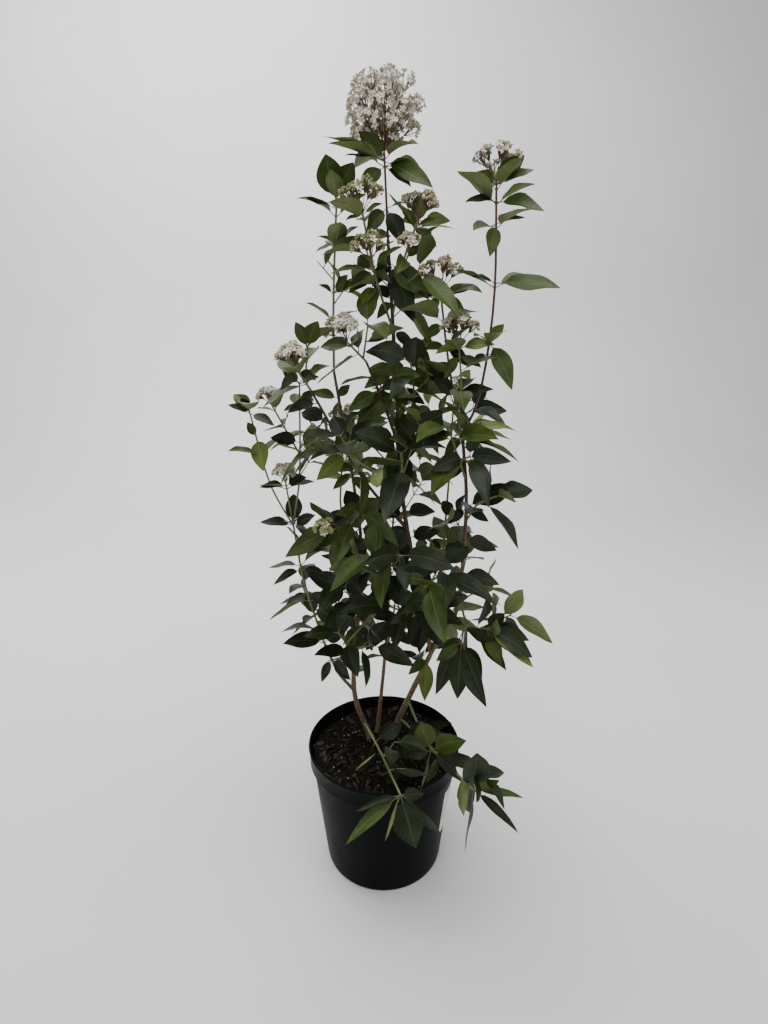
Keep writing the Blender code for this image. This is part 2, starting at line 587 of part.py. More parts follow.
def build_pot():
    """Nursery pot: tapered wall, step under the rim band, and drainage slots round the foot."""
    shoulder = POT_TOP_RADIUS - POT_STEP
    profile = [
        (0, POT_FLOOR), (inner_radius(POT_FLOOR), POT_FLOOR), (inner_radius(POT_SHOULDER), POT_SHOULDER),
        (POT_TOP_RADIUS - 0.32, POT_SHOULDER + 0.3), (POT_TOP_RADIUS - 0.15, POT_HEIGHT - 0.1),
        (POT_TOP_RADIUS - 0.08, POT_HEIGHT), (POT_TOP_RADIUS + 0.04, POT_HEIGHT - 0.03),
        (POT_TOP_RADIUS + 0.08, POT_HEIGHT - 0.2), (POT_TOP_RADIUS - 0.02, POT_HEIGHT - 0.35),
        (POT_TOP_RADIUS - 0.12, POT_SHOULDER + 0.05), (shoulder, POT_SHOULDER - 0.06),
        (POT_BASE_RADIUS, 0.2), (POT_BASE_RADIUS - 0.15, 0.0), (0, 0)]
    pot = turned("pot", profile, "pot_plastic")
    cutters = []
    for k in range(SLOT_COUNT):
        angle = (k + 0.5) * 2 * math.pi / SLOT_COUNT
        bpy.ops.mesh.primitive_cube_add(size=1.0)
        cutter = bpy.context.object
        cutter.scale = (SLOT_DEPTH * CM, SLOT_WIDTH * CM, 2 * SLOT_HEIGHT * CM)
        cutter.rotation_euler = (0, 0, angle)
        cutter.location = (POT_BASE_RADIUS * CM * math.cos(angle), POT_BASE_RADIUS * CM * math.sin(angle), 0)
        cutter.display_type = "WIRE"
        cutter.hide_render = True
        slot = pot.modifiers.new("slot", "BOOLEAN")
        slot.operation = "DIFFERENCE"
        slot.object = cutter
        cutters.append(cutter)
    bpy.context.view_layer.update()
    apply_modifiers(pot)
    for cutter in cutters:
        bpy.data.objects.remove(cutter)
    pot.data.shade_smooth()
    pot.data.set_sharp_from_angle(angle=math.radians(30))


def build_soil():
    """Potting soil, filling the pot to a little below its rim."""
    low = POT_FLOOR + CLEAR
    step = POT_TOP_RADIUS - 0.32 - 2 * CLEAR
    profile = [(0, SOIL_TOP), (step, SOIL_TOP), (step, POT_SHOULDER + 0.3 + CLEAR),
               (inner_radius(POT_SHOULDER) - CLEAR, POT_SHOULDER), (inner_radius(low) - CLEAR, low), (0, low)]
    turned("potting_soil", profile, "soil")


def main():
    for item in list(bpy.data.objects):
        bpy.data.objects.remove(item)
    build_pot()
    build_soil()
    limb_lines, limb_shapes = build_limbs()
    for name, (points, faces) in limb_shapes.items():
        new_object(name, points, faces, "bark").data.shade_smooth()
    masses = build_skeletons(limb_lines, limb_shapes)
    leaves = grow_leaves(masses, limb_shapes)
    for name, mass in masses.items():
        fuse(name, mass["pieces"], "foliage")
    print("leaves", leaves)


main()
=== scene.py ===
import math
import bpy
import numpy as np
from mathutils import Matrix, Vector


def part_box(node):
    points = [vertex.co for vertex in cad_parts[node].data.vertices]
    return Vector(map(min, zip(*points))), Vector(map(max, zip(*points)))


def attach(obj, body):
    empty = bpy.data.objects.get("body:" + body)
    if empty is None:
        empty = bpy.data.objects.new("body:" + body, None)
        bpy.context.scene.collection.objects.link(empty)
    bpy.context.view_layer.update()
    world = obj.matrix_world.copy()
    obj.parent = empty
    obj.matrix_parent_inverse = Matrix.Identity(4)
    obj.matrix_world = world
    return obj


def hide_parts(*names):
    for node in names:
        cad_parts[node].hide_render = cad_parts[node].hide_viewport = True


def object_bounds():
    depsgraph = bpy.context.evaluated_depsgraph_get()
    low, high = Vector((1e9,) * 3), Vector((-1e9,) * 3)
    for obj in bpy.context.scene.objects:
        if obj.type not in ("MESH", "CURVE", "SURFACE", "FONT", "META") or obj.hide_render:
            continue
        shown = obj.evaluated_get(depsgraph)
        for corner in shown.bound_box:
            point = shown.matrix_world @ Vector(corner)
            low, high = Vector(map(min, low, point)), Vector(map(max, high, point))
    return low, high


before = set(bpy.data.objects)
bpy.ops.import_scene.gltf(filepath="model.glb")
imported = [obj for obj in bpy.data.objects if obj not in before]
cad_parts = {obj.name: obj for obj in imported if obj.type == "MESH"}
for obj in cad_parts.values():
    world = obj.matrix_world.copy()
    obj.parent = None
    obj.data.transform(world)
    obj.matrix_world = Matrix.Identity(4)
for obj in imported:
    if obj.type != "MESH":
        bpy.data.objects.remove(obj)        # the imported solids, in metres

# Laurustinus in a nursery pot: stems, twigs, leaves and flowers grown by the same rule as the solids.
# Places in the tables are in centimetres from the centre of the pot's flat underside.
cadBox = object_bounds()
cm = 0.01
cadLow, cadHigh = (np.array(corner) / cm for corner in cadBox)
upward = np.array([0.0, 0.0, 1.0])
clear = 0.03                                             # gap between neighbouring solids
soilTop = 13.2
seedBase = 41
goldenAngle = math.radians(137.508)
limbStep, shootStep, straightStep = 3.4, 2.4, 20.0       # how far apart a line's points are
shootRadius, twigRadius = (0.16, 0.12), (0.12, 0.10)     # at the foot and at the tip
shootShrink = 0.92                                       # keeps a shoot just inside the solid's surface
pathPoints = 12                                          # along each twig
fullTurn = 6.28
leafSizes = (1.0, 0.8, 0.62)                             # tried in turn, as in the solids
leafRise, leafDroop = 58.0, 0.30                         # degrees off the shoot; sag as a share of the length
topJoint, headJoint = 0.12, 0.75                         # bare end above the last joint, or below a head

# Woody limbs, each one tapering. "on" names the limb that carries it, "at" how far along.
limbs = {
    "right_stem": dict(foot=(1.0, 2.5, soilTop), via=[(2.9, 1.8, 18.5)], tip=(5.5, 1.0, 25.0),
                       radius=(0.40, 0.31), sides=8),
    "left_stem": dict(foot=(-1.7, 2.1, soilTop), via=[(-3.6, 1.6, 20.0), (-3.1, 2.2, 28.8)],
                      tip=(-2.7, 2.6, 39.3), radius=(0.34, 0.22), sides=8),
    "middle_stem": dict(foot=(-0.8, 3.2, soilTop), via=[(0.3, 3.8, 25.4)], tip=(0.8, 5.0, 35.3),
                        radius=(0.26, 0.16), sides=6),
    "main_stem": dict(on="right_stem", at=1.0, via=[(3.9, 0.4, 34.0), (2.1, 0.3, 44.0), (1.4, 0.4, 55.0)],
                      tip=(0.4, 0.0, 71.0), radius=(0.30, 0.17), sides=8),
    "right_bough": dict(on="right_stem", at=0.96, via=[(8.3, -1.0, 32.2), (8.8, -1.8, 43.5)],
                        tip=(8.2, -1.8, 51.5), radius=(0.25, 0.18), sides=6),
    "left_tall_bough": dict(on="left_stem", at=1.0, via=[(-3.6, 2.6, 46.4)], tip=(-5.4, 1.8, 57.9),
                            radius=(0.21, 0.16), sides=6),
    "left_bough": dict(on="left_stem", at=0.26, via=[(-5.4, 0.4, 23.1)], tip=(-6.9, -0.6, 27.5),
                       radius=(0.20, 0.16), sides=6),
    "diagonal_bough": dict(on="main_stem", at=0.34, via=[(-2.3, -2.0, 47.1)], tip=(-7.3, -4.0, 56.4),
                           radius=(0.20, 0.13), sides=6),
    "centre_bough": dict(on="main_stem", at=0.54, via=[(0.0, -0.5, 54.6)], tip=(-1.8, -1.4, 59.0),
                         radius=(0.18, 0.13), sides=6),
    "back_left_bough": dict(on="left_stem", at=0.55, via=[(-4.6, 5.4, 34.0)], tip=(-5.4, 8.0, 42.1),
                            radius=(0.18, 0.13), sides=6),
    "back_right_bough": dict(on="main_stem", at=0.10, via=[(6.8, 4.2, 34.0)], tip=(7.9, 7.5, 43.5),
                             radius=(0.19, 0.13), sides=6),
}

# Foliage masses. The first shoot of each is its stem, and the others branch from it.
# "nodes" are the leaf joints as shares of the shoot, "turn" the angle of the first leaf pair,
# "sprays" the number of seeded side twigs, and "head" the radius and height of a flower head.
masses = {
    "crown_head": [
        dict(name="a", on="main_stem", at=1.0, tip=(0.0, 0.0, 79.2), radius=(0.17, 0.13),
             nodes=(0.82, 0.97), turn=25, leaf=6.4, head=(3.7, 7.3), rays=26),
    ],
    "upper_left_foliage": [
        dict(name="a", on="main_stem", at=0.81, via=[(-0.7, -1.2, 66.8)], tip=(-2.1, -2.0, 73.1),
             nodes=(0.35, 0.62, 0.93), turn=70, leaf=5.2, head=(2.1, 3.0), rays=7),
        dict(name="b", on="a", at=0.30, tip=(-1.3, -3.0, 68.5), nodes=(0.9,), turn=10, leaf=4.2,
             head=(1.7, 2.6), rays=7),
    ],
    "upper_right_foliage": [
        dict(name="a", on="main_stem", at=0.84, via=[(1.9, -0.5, 68.9)], tip=(3.3, -1.0, 72.6),
             nodes=(0.45, 0.72, 0.95), turn=20, leaf=5.4, head=(1.9, 2.7), rays=7),
        dict(name="b", on="a", at=0.35, tip=(2.4, -2.4, 69.4), nodes=(0.85,), turn=60, leaf=3.6,
             head=(1.3, 1.8), rays=7),
        dict(name="c", on="a", at=0.12, tip=(3.4, -2.6, 67.6), nodes=(0.6, 1.0), turn=30, leaf=6.0),
    ],
    "left_tall_foliage": [
        dict(name="a", on="left_tall_bough", at=1.0, via=[(-5.3, 1.4, 65.4)], tip=(-4.8, 1.0, 74.9),
             nodes=(0.30, 0.72, 0.91, 1.0), turn=5, leaf=4.4, rise=48),
    ],
    "right_tall_foliage": [
        dict(name="a", on="right_bough", at=1.0, via=[(9.8, -2.0, 55.7), (10.8, -2.6, 65.0)],
             tip=(10.6, -2.6, 75.7), nodes=(0.02, 0.38, 0.61, 0.83, 0.92, 0.99), turn=15, leaf=5.6,
             head=(2.2, 3.4), rays=7),
    ],
    "right_heads_foliage": [
        dict(name="a", on="right_bough", at=0.94, via=[(6.6, -1.0, 59.2)], tip=(5.7, -1.0, 65.8),
             nodes=(0.30, 0.55, 0.78, 0.96), turn=40, leaf=5.6, head=(2.1, 3.3), rays=7),
        dict(name="b", on="a", at=0.05, via=[(7.8, -2.8, 56.3)], tip=(7.4, -3.0, 60.7),
             nodes=(0.35, 0.65, 0.95), turn=75, leaf=4.8, head=(1.9, 2.8), rays=7),
    ],
    "left_diagonal_foliage": [
        dict(name="a", on="diagonal_bough", at=1.0, tip=(-8.5, -4.6, 58.4), nodes=(0.25, 0.95), turn=30,
             leaf=5.0, head=(1.5, 2.4), rays=7),
        dict(name="b", on="a", at=0.35, tip=(-7.5, -3.8, 60.6), nodes=(0.5, 1.0), turn=70, leaf=4.0, rise=40),
    ],
    "left_centre_foliage": [
        dict(name="a", on="centre_bough", at=1.0, tip=(-3.7, -2.4, 61.0), nodes=(0.4, 0.95), turn=50,
             leaf=4.8, head=(1.9, 2.6), rays=7),
        dict(name="b", on="a", at=0.15, tip=(-1.6, -3.0, 62.6), nodes=(0.5, 1.0), turn=10, leaf=5.2),
    ],
    "left_shoot_foliage": [
        dict(name="a", on="left_bough", at=1.0, via=[(-8.8, -1.6, 35.2)], tip=(-9.7, -2.4, 42.2),
             nodes=(0.10, 0.22, 0.36, 0.50, 0.66, 0.98), turn=0, leaf=4.3),
        dict(name="b", on="a", at=0.98, via=[(-11.9, -3.0, 46.7)], tip=(-13.4, -4.0, 54.2),
             nodes=(0.63, 1.0), turn=35, leaf=4.4),
        dict(name="c", on="a", at=0.97, tip=(-10.2, -3.2, 46.8), nodes=(0.92,), turn=20, leaf=3.4,
             head=(1.2, 1.9), rays=7),
        dict(name="d", on="a", at=0.99, via=[(-8.9, -2.0, 47.3)], tip=(-8.7, -1.5, 57.0),
             nodes=(0.52, 0.80, 1.0), turn=25, leaf=4.4),
        dict(name="e", on="d", at=0.50, tip=(-11.6, -1.8, 54.7), nodes=(0.55, 0.95), turn=60, leaf=3.2,
             head=(1.2, 1.8), rays=7),
    ],
    "centre_front_foliage": [
        dict(name="a", on="main_stem", at=0.45, via=[(1.9, -2.4, 47.6)], tip=(1.7, -4.8, 50.2),
             nodes=(0.6, 1.0), turn=80, leaf=6.6),
        dict(name="b", on="a", at=0.35, tip=(3.6, -4.0, 52.9), nodes=(0.5, 0.75, 1.0), turn=20, leaf=5.2),
    ],
    "centre_left_foliage": [
        dict(name="a", on="diagonal_bough", at=0.45, tip=(-4.3, -5.0, 52.0), nodes=(0.5, 0.75, 1.0), turn=15,
             leaf=4.6),
        dict(name="b", on="a", at=0.25, tip=(-1.2, -5.0, 48.5), nodes=(0.5, 1.0), turn=50, leaf=4.6),
    ],
    "left_middle_foliage": [
        dict(name="a", on="left_stem", at=0.96, via=[(-3.8, 0.4, 41.0)], tip=(-5.9, -3.0, 41.4),
             nodes=(0.5, 0.75, 0.98), turn=30, leaf=5.2, head=(1.1, 1.7), rays=7),
        dict(name="b", on="a", at=0.45, tip=(-2.6, -3.4, 43.5), nodes=(0.5, 1.0), turn=70, leaf=4.6),
    ],
    "right_middle_foliage": [
        dict(name="a", on="main_stem", at=0.63, tip=(4.6, -2.0, 57.5), nodes=(0.4, 0.7, 1.0), turn=35,
             leaf=5.6),
        dict(name="b", on="a", at=0.5, tip=(2.6, -3.8, 59.0), nodes=(0.6, 1.0), turn=75, leaf=5.4),
    ],
    "right_inner_foliage": [
        dict(name="a", on="right_bough", at=0.80, tip=(6.2, -5.4, 53.0), nodes=(0.35, 0.7, 1.0), turn=60,
             leaf=5.6),
        dict(name="b", on="a", at=0.3, tip=(8.4, -5.8, 50.0), nodes=(0.6, 1.0), turn=10, leaf=5.0),
    ],
    "right_side_foliage": [
        dict(name="a", on="right_bough", at=0.60, via=[(9.8, -3.2, 44.6)], tip=(11.6, -3.8, 45.5),
             nodes=(0.35, 0.7, 1.0), turn=40, leaf=5.0),
    ],
    "lower_left_foliage": [
        dict(name="a", on="left_stem", at=0.40, via=[(-4.0, -1.6, 27.4)], tip=(-5.0, -4.0, 30.4),
             nodes=(0.4, 0.7, 1.0), turn=20, leaf=4.8, sprays=1),
        dict(name="b", on="a", at=0.45, tip=(-1.2, -4.2, 29.0), nodes=(0.55, 1.0), turn=65, leaf=5.0),
    ],
    "lower_left_upper_foliage": [
        dict(name="a", on="left_stem", at=0.62, via=[(-3.6, -0.6, 32.4)], tip=(-4.2, -3.2, 35.4),
             nodes=(0.45, 0.75, 1.0), turn=50, leaf=5.2, sprays=1),
    ],
    "lower_centre_foliage": [
        dict(name="a", on="main_stem", at=0.13, via=[(3.0, -2.4, 31.4)], tip=(1.4, -5.2, 34.0),
             nodes=(0.4, 0.7, 1.0), turn=10, leaf=5.6, sprays=2),
    ],
    "centre_low_front_foliage": [
        dict(name="a", on="main_stem", at=0.24, via=[(1.2, -2.4, 37.2)], tip=(-0.9, -4.8, 39.6),
             nodes=(0.4, 0.7, 1.0), turn=30, leaf=6.0, sprays=2),
    ],
    "centre_low_right_foliage": [
        dict(name="a", on="main_stem", at=0.20, via=[(5.2, -2.6, 35.6)], tip=(6.2, -5.2, 38.2),
             nodes=(0.4, 0.7, 1.0), turn=70, leaf=6.0, sprays=2),
    ],
    "lower_right_foliage": [
        dict(name="a", on="right_bough", at=0.22, via=[(9.4, -2.6, 30.2)], tip=(11.4, -4.2, 31.0),
             nodes=(0.4, 0.7, 1.0), turn=10, leaf=5.2, sprays=1),
        dict(name="b", on="a", at=0.35, tip=(8.2, -5.4, 30.0), nodes=(0.5, 1.0), turn=50, leaf=5.4),
    ],
    "front_low_foliage": [
        dict(name="a", on="right_stem", at=0.45, via=[(3.9, -2.8, 18.4)], tip=(5.2, -6.0, 17.4),
             nodes=(0.55, 0.8, 1.0), turn=30, leaf=4.8),
    ],
    "front_rim_foliage": [
        dict(name="a", on="left_stem", at=0.09, via=[(-0.6, -5.0, 17.0), (0.6, -8.2, 16.6)],
             tip=(1.7, -10.4, 15.6), nodes=(0.42, 0.60, 0.78, 1.0), turn=50, leaf=4.8, rise=66),
    ],
    "right_rim_foliage": [
        dict(name="a", on="right_stem", at=0.22, via=[(5.6, -4.6, 16.4), (7.2, -6.8, 16.0)],
             tip=(9.6, -8.4, 14.4), nodes=(0.62, 0.85, 1.0), turn=10, leaf=4.8, rise=66),
    ],
    "back_centre_foliage": [
        dict(name="a", on="middle_stem", at=1.0, via=[(1.4, 6.4, 44.0)], tip=(1.9, 7.0, 53.0),
             nodes=(0.25, 0.5, 0.75, 0.98), turn=30, leaf=5.4, sprays=3, head=(1.9, 2.7), rays=7),
    ],
    "back_left_foliage": [
        dict(name="a", on="back_left_bough", at=1.0, tip=(-4.9, 8.8, 51.0), nodes=(0.25, 0.6, 0.98),
             turn=60, leaf=5.2, sprays=3, head=(1.8, 2.6), rays=7),
    ],
    "back_right_foliage": [
        dict(name="a", on="back_right_bough", at=1.0, tip=(8.4, 8.4, 54.0), nodes=(0.25, 0.6, 0.98),
             turn=20, leaf=5.2, sprays=3, head=(1.9, 2.7), rays=7),
    ],
    "back_low_left_foliage": [
        dict(name="a", on="left_stem", at=0.34, via=[(-5.2, 5.4, 26.0)], tip=(-6.6, 8.6, 30.0),
             nodes=(0.4, 0.7, 1.0), turn=40, leaf=5.2, sprays=3),
    ],
    "back_low_right_foliage": [
        dict(name="a", on="right_stem", at=0.80, via=[(7.0, 4.4, 26.4)], tip=(9.2, 8.0, 30.0),
             nodes=(0.4, 0.7, 1.0), turn=70, leaf=5.2, sprays=3),
    ],
    "back_low_centre_foliage": [
        dict(name="a", on="middle_stem", at=0.45, via=[(1.2, 6.6, 27.0)], tip=(1.8, 10.0, 31.0),
             nodes=(0.4, 0.7, 1.0), turn=10, leaf=5.4, sprays=3),
    ],
}

# Leaves read off the photo. Each joint is (limb, or mass and shoot; height of the joint; its leaves), and
# each leaf (angle in the picture, 0 right and 90 up; length; width as a share; facing, 0 level and 90
# upright; tone).
# The tone of each leaf is painted light and shade: dark for a shaded leaf, light for a lit one, mid between.
seenJoints = [
    ("crown_head a", 78.3, [(166, 6.6, 0.36, 20, "dark"), (178, 4.2, 0.30, 30, "dark"),
        (136, 3.6, 0.42, 70, "mid"), (-35, 5.9, 0.42, 60, "mid")]),
    ("crown_head a", 77.8, [(-41, 3.6, 0.40, 45, "dark"), (223, 4.0, 0.46, 75, "mid"),
        (12, 2.5, 0.40, 30, "mid")]),
    ("crown_head a", 74.0, [(229, 3.6, 0.50, 80, "mid"), (-67, 4.5, 0.46, 75, "dark"),
        (8, 2.6, 0.30, 25, "mid")]),
    ("left_tall_foliage a", 74.8, [(108, 4.4, 0.50, 80, "mid"), (67, 4.0, 0.50, 80, "mid")]),
    ("left_tall_foliage a", 74.2, [(172, 4.1, 0.34, 30, "dark"), (30, 2.0, 0.36, 35, "mid")]),
    ("left_tall_foliage a", 70.9, [(163, 2.0, 0.36, 30, "mid"), (28, 3.1, 0.36, 35, "mid"),
        (207, 2.3, 0.40, 30, "mid"), (-16, 2.2, 0.44, 40, "dark"), (50, 1.8, 0.40, 50, "mid")]),
    ("left_tall_foliage a", 66.0, [(45, 2.6, 0.42, 50, "mid"), (25, 2.7, 0.42, 55, "mid"),
        (148, 1.9, 0.36, 40, "mid")]),
    ("upper_left_foliage a", 73.0, [(150, 2.4, 0.40, 45, "mid"), (25, 2.3, 0.40, 40, "mid"),
        (201, 1.9, 0.42, 40, "mid")]),
    ("upper_left_foliage a", 68.0, [(228, 3.7, 0.46, 70, "mid"), (141, 2.1, 0.42, 50, "mid"),
        (-41, 2.3, 0.44, 65, "mid")]),
    ("upper_left_foliage a", 66.5, [(250, 3.0, 0.44, 75, "mid"), (225, 3.2, 0.42, 60, "light")]),
    ("upper_right_foliage a", 72.0, [(125, 2.4, 0.40, 50, "mid"), (16, 2.5, 0.38, 35, "mid"),
        (-44, 3.1, 0.40, 60, "mid")]),
    ("upper_right_foliage a", 70.3, [(137, 1.8, 0.40, 45, "light"), (28, 3.6, 0.30, 35, "mid")]),
    ("main_stem", 69.0, [(-48, 5.9, 0.44, 75, "mid"), (-70, 7.0, 0.40, 80, "dark"),
        (237, 3.3, 0.46, 70, "dark")]),
    ("main_stem", 65.2, [(-34, 3.3, 0.46, 60, "dark"), (142, 2.5, 0.46, 50, "dark"),
        (233, 2.6, 0.46, 70, "mid")]),
    ("main_stem", 62.2, [(-42, 3.1, 0.44, 65, "dark"), (208, 3.1, 0.44, 60, "dark")]),
    ("right_heads_foliage a", 65.4, [(18, 3.7, 0.42, 40, "mid"), (162, 2.9, 0.42, 45, "mid"),
        (-26, 2.8, 0.46, 60, "light"), (227, 2.5, 0.46, 70, "mid")]),
    ("right_heads_foliage a", 62.8, [(215, 2.9, 0.46, 65, "mid"), (8, 3.0, 0.44, 50, "mid")]),
    ("right_heads_foliage a", 60.6, [(-41, 3.3, 0.46, 65, "dark"), (192, 2.6, 0.44, 50, "mid")]),
    ("right_heads_foliage b", 60.4, [(3, 3.6, 0.40, 40, "light"), (193, 2.7, 0.42, 45, "light")]),
    ("right_heads_foliage b", 59.6, [(-24, 2.5, 0.44, 60, "mid"), (228, 2.8, 0.46, 70, "mid")]),
    ("right_tall_foliage a", 75.4, [(161, 2.7, 0.46, 55, "mid"), (48, 3.4, 0.44, 70, "mid"),
        (19, 3.6, 0.42, 45, "mid")]),
    ("right_tall_foliage a", 74.0, [(183, 3.5, 0.40, 40, "dark"), (-15, 4.7, 0.44, 50, "mid")]),
    ("right_tall_foliage a", 72.0, [(8, 2.8, 0.34, 40, "mid"), (255, 3.5, 0.50, 85, "mid")]),
    ("right_tall_foliage a", 66.6, [(169, 2.7, 0.30, 40, "dark"), (-9, 6.3, 0.40, 45, "mid")]),
    ("right_tall_foliage a", 61.0, [(61, 2.3, 0.42, 70, "light"), (-61, 5.4, 0.44, 65, "mid"),
        (182, 2.4, 0.42, 45, "mid")]),
    ("right_tall_foliage a", 59.8, [(-28, 2.5, 0.42, 45, "mid"), (210, 2.1, 0.42, 50, "dark")]),
    ("main_stem", 58.0, [(205, 4.0, 0.46, 60, "mid"), (-30, 4.2, 0.46, 60, "mid")]),
    ("main_stem", 56.0, [(216, 5.8, 0.48, 70, "mid"), (-20, 3.5, 0.46, 50, "dark")]),
    ("centre_bough", 56.0, [(214, 3.9, 0.48, 75, "mid"), (20, 3.2, 0.44, 45, "dark")]),
    ("left_tall_bough", 55.0, [(167, 3.3, 0.42, 45, "mid"), (55, 2.2, 0.42, 60, "mid")]),
    ("diagonal_bough", 55.0, [(195, 3.3, 0.44, 50, "dark")]),
    ("main_stem", 50.0, [(-88, 6.4, 0.52, 88, "dark"), (232, 3.1, 0.46, 70, "mid"),
        (13, 2.9, 0.46, 50, "mid")]),
    ("centre_front_foliage b", 51.0, [(48, 4.7, 0.50, 75, "dark"), (129, 3.6, 0.46, 60, "dark")]),
    ("right_middle_foliage a", 57.0, [(30, 3.7, 0.46, 55, "dark"), (156, 2.6, 0.46, 50, "mid")]),
    ("right_heads_foliage a", 55.5, [(143, 3.3, 0.46, 55, "dark"), (15, 4.2, 0.36, 35, "dark")]),
    ("right_bough", 51.4, [(-19, 4.3, 0.26, 25, "dark"), (221, 3.0, 0.44, 60, "mid")]),
    ("right_bough", 49.0, [(-39, 2.9, 0.46, 65, "light"), (234, 3.0, 0.46, 70, "dark")]),
    ("right_bough", 43.6, [(33, 5.8, 0.34, 35, "dark"), (-29, 2.8, 0.46, 55, "dark"),
        (218, 2.7, 0.46, 60, "dark")]),
    ("right_bough", 40.0, [(-9, 3.6, 0.50, 55, "dark"), (213, 3.3, 0.46, 60, "dark")]),
    ("right_bough", 36.2, [(-15, 4.3, 0.44, 40, "dark"), (213, 3.2, 0.44, 60, "dark")]),
    ("left_shoot_foliage b", 54.0, [(153, 3.2, 0.36, 40, "dark"), (114, 1.9, 0.44, 50, "dark"),
        (-25, 3.0, 0.40, 40, "dark")]),
    ("left_shoot_foliage b", 51.6, [(-73, 3.6, 0.60, 85, "light"), (118, 1.9, 0.40, 50, "mid")]),
    ("left_shoot_foliage c", 46.4, [(32, 2.8, 0.44, 50, "dark"), (175, 2.8, 0.36, 35, "dark")]),
    ("left_shoot_foliage a", 42.0, [(171, 3.6, 0.34, 35, "dark"), (24, 3.0, 0.42, 45, "dark")]),
    ("left_shoot_foliage a", 36.7, [(199, 3.4, 0.34, 35, "dark"), (-4, 3.1, 0.40, 40, "dark")]),
    ("left_shoot_foliage a", 34.0, [(210, 2.7, 0.30, 30, "dark"), (-27, 3.8, 0.38, 45, "dark")]),
    ("left_bough", 27.3, [(165, 4.9, 0.40, 35, "dark"), (49, 3.9, 0.44, 60, "dark")]),
    ("left_bough", 25.0, [(240, 2.8, 0.46, 70, "dark"), (-38, 3.2, 0.50, 75, "dark")]),
    ("left_shoot_foliage d", 56.8, [(22, 2.5, 0.40, 45, "dark"), (135, 2.3, 0.44, 55, "mid")]),
    ("left_shoot_foliage d", 54.8, [(32, 2.4, 0.42, 55, "mid"), (207, 1.9, 0.42, 50, "mid")]),
    ("left_shoot_foliage d", 50.7, [(28, 2.8, 0.44, 55, "mid"), (165, 3.2, 0.46, 60, "dark")]),
    ("left_diagonal_foliage a", 58.2, [(-23, 2.2, 0.46, 60, "dark"), (227, 2.6, 0.46, 65, "dark")]),
    ("left_diagonal_foliage b", 60.3, [(107, 2.9, 0.36, 60, "mid"), (70, 3.1, 0.46, 70, "mid")]),
    ("diagonal_bough", 49.5, [(211, 4.2, 0.50, 75, "light"), (125, 2.7, 0.44, 55, "mid")]),
    ("diagonal_bough", 48.0, [(28, 2.8, 0.44, 50, "mid"), (180, 3.0, 0.40, 45, "mid")]),
    ("left_tall_bough", 46.4, [(214, 2.8, 0.44, 60, "mid"), (-47, 2.6, 0.44, 60, "mid")]),
    ("left_tall_bough", 42.0, [(207, 6.0, 0.46, 55, "dark"), (223, 5.1, 0.46, 65, "dark"),
        (115, 3.4, 0.48, 65, "dark")]),
    ("left_tall_bough", 40.2, [(238, 4.6, 0.50, 75, "dark"), (-29, 3.4, 0.46, 60, "dark")]),
    ("main_stem", 42.5, [(175, 3.6, 0.46, 50, "dark"), (11, 3.6, 0.46, 50, "dark")]),
    ("main_stem", 39.5, [(21, 3.8, 0.44, 45, "dark"), (150, 3.3, 0.44, 50, "dark"),
        (247, 4.2, 0.50, 80, "dark")]),
    ("main_stem", 37.2, [(-25, 3.2, 0.46, 60, "dark"), (243, 4.3, 0.50, 80, "dark"),
        (-67, 4.8, 0.50, 80, "dark")]),
    ("main_stem", 34.6, [(195, 6.7, 0.40, 50, "dark"), (-62, 6.6, 0.36, 70, "mid")]),
    ("main_stem", 32.4, [(250, 4.8, 0.50, 80, "dark"), (-61, 5.1, 0.50, 80, "dark")]),
    ("main_stem", 30.0, [(259, 4.1, 0.50, 80, "dark"), (-54, 4.0, 0.50, 75, "dark")]),
    ("left_stem", 36.0, [(236, 4.0, 0.50, 75, "dark")]),
    ("left_stem", 32.0, [(241, 4.0, 0.50, 75, "dark")]),
    ("left_stem", 28.5, [(256, 4.2, 0.60, 80, "mid")]),
    ("middle_stem", 33.0, [(231, 3.2, 0.50, 75, "dark")]),
    ("middle_stem", 27.5, [(-38, 3.7, 0.46, 60, "dark"), (229, 4.2, 0.48, 70, "dark")]),
    ("lower_right_foliage a", 30.8, [(-34, 6.2, 0.36, 35, "light"), (-23, 5.5, 0.46, 60, "dark"),
        (46, 3.0, 0.44, 55, "dark"), (-71, 4.2, 0.46, 80, "mid")]),
    ("lower_right_foliage a", 29.8, [(-20, 3.6, 0.46, 55, "dark"), (-8, 4.6, 0.42, 45, "dark")]),
    ("lower_right_foliage b", 29.6, [(-97, 5.8, 0.52, 88, "dark"), (-63, 4.6, 0.50, 75, "dark"),
        (210, 3.4, 0.46, 60, "mid")]),
    ("right_stem", 24.4, [(259, 4.8, 0.44, 80, "light"), (206, 3.0, 0.44, 60, "mid")]),
    ("front_low_foliage a", 17.4, [(112, 5.5, 0.34, 60, "mid"), (40, 4.7, 0.40, 45, "mid"),
        (-35, 4.2, 0.34, 60, "dark"), (176, 3.0, 0.44, 55, "dark")]),
    ("front_low_foliage a", 18.0, [(122, 3.2, 0.46, 60, "dark"), (232, 3.0, 0.36, 60, "dark"),
        (24, 2.5, 0.42, 45, "mid")]),
    ("front_rim_foliage a", 15.6, [(210, 7.0, 0.20, 40, "mid"), (185, 4.8, 0.17, 40, "dark"),
        (-74, 5.2, 0.74, 50, "dark"), (15, 2.6, 0.44, 45, "dark")]),
    ("right_rim_foliage a", 14.4, [(93, 7.0, 0.34, 60, "dark"), (54, 3.6, 0.32, 60, "mid"),
        (11, 5.2, 0.16, 30, "mid"), (-33, 5.8, 0.17, 40, "dark"), (-35, 5.0, 0.20, 45, "dark")]),
]


# Vectors of length one.
def unit(v):
    return v / np.linalg.norm(v, axis=-1, keepdims=True)


# The value at a share of the way from the first of two ends to the second.
def between(ends, share):
    return ends[0] + (ends[1] - ends[0]) * share


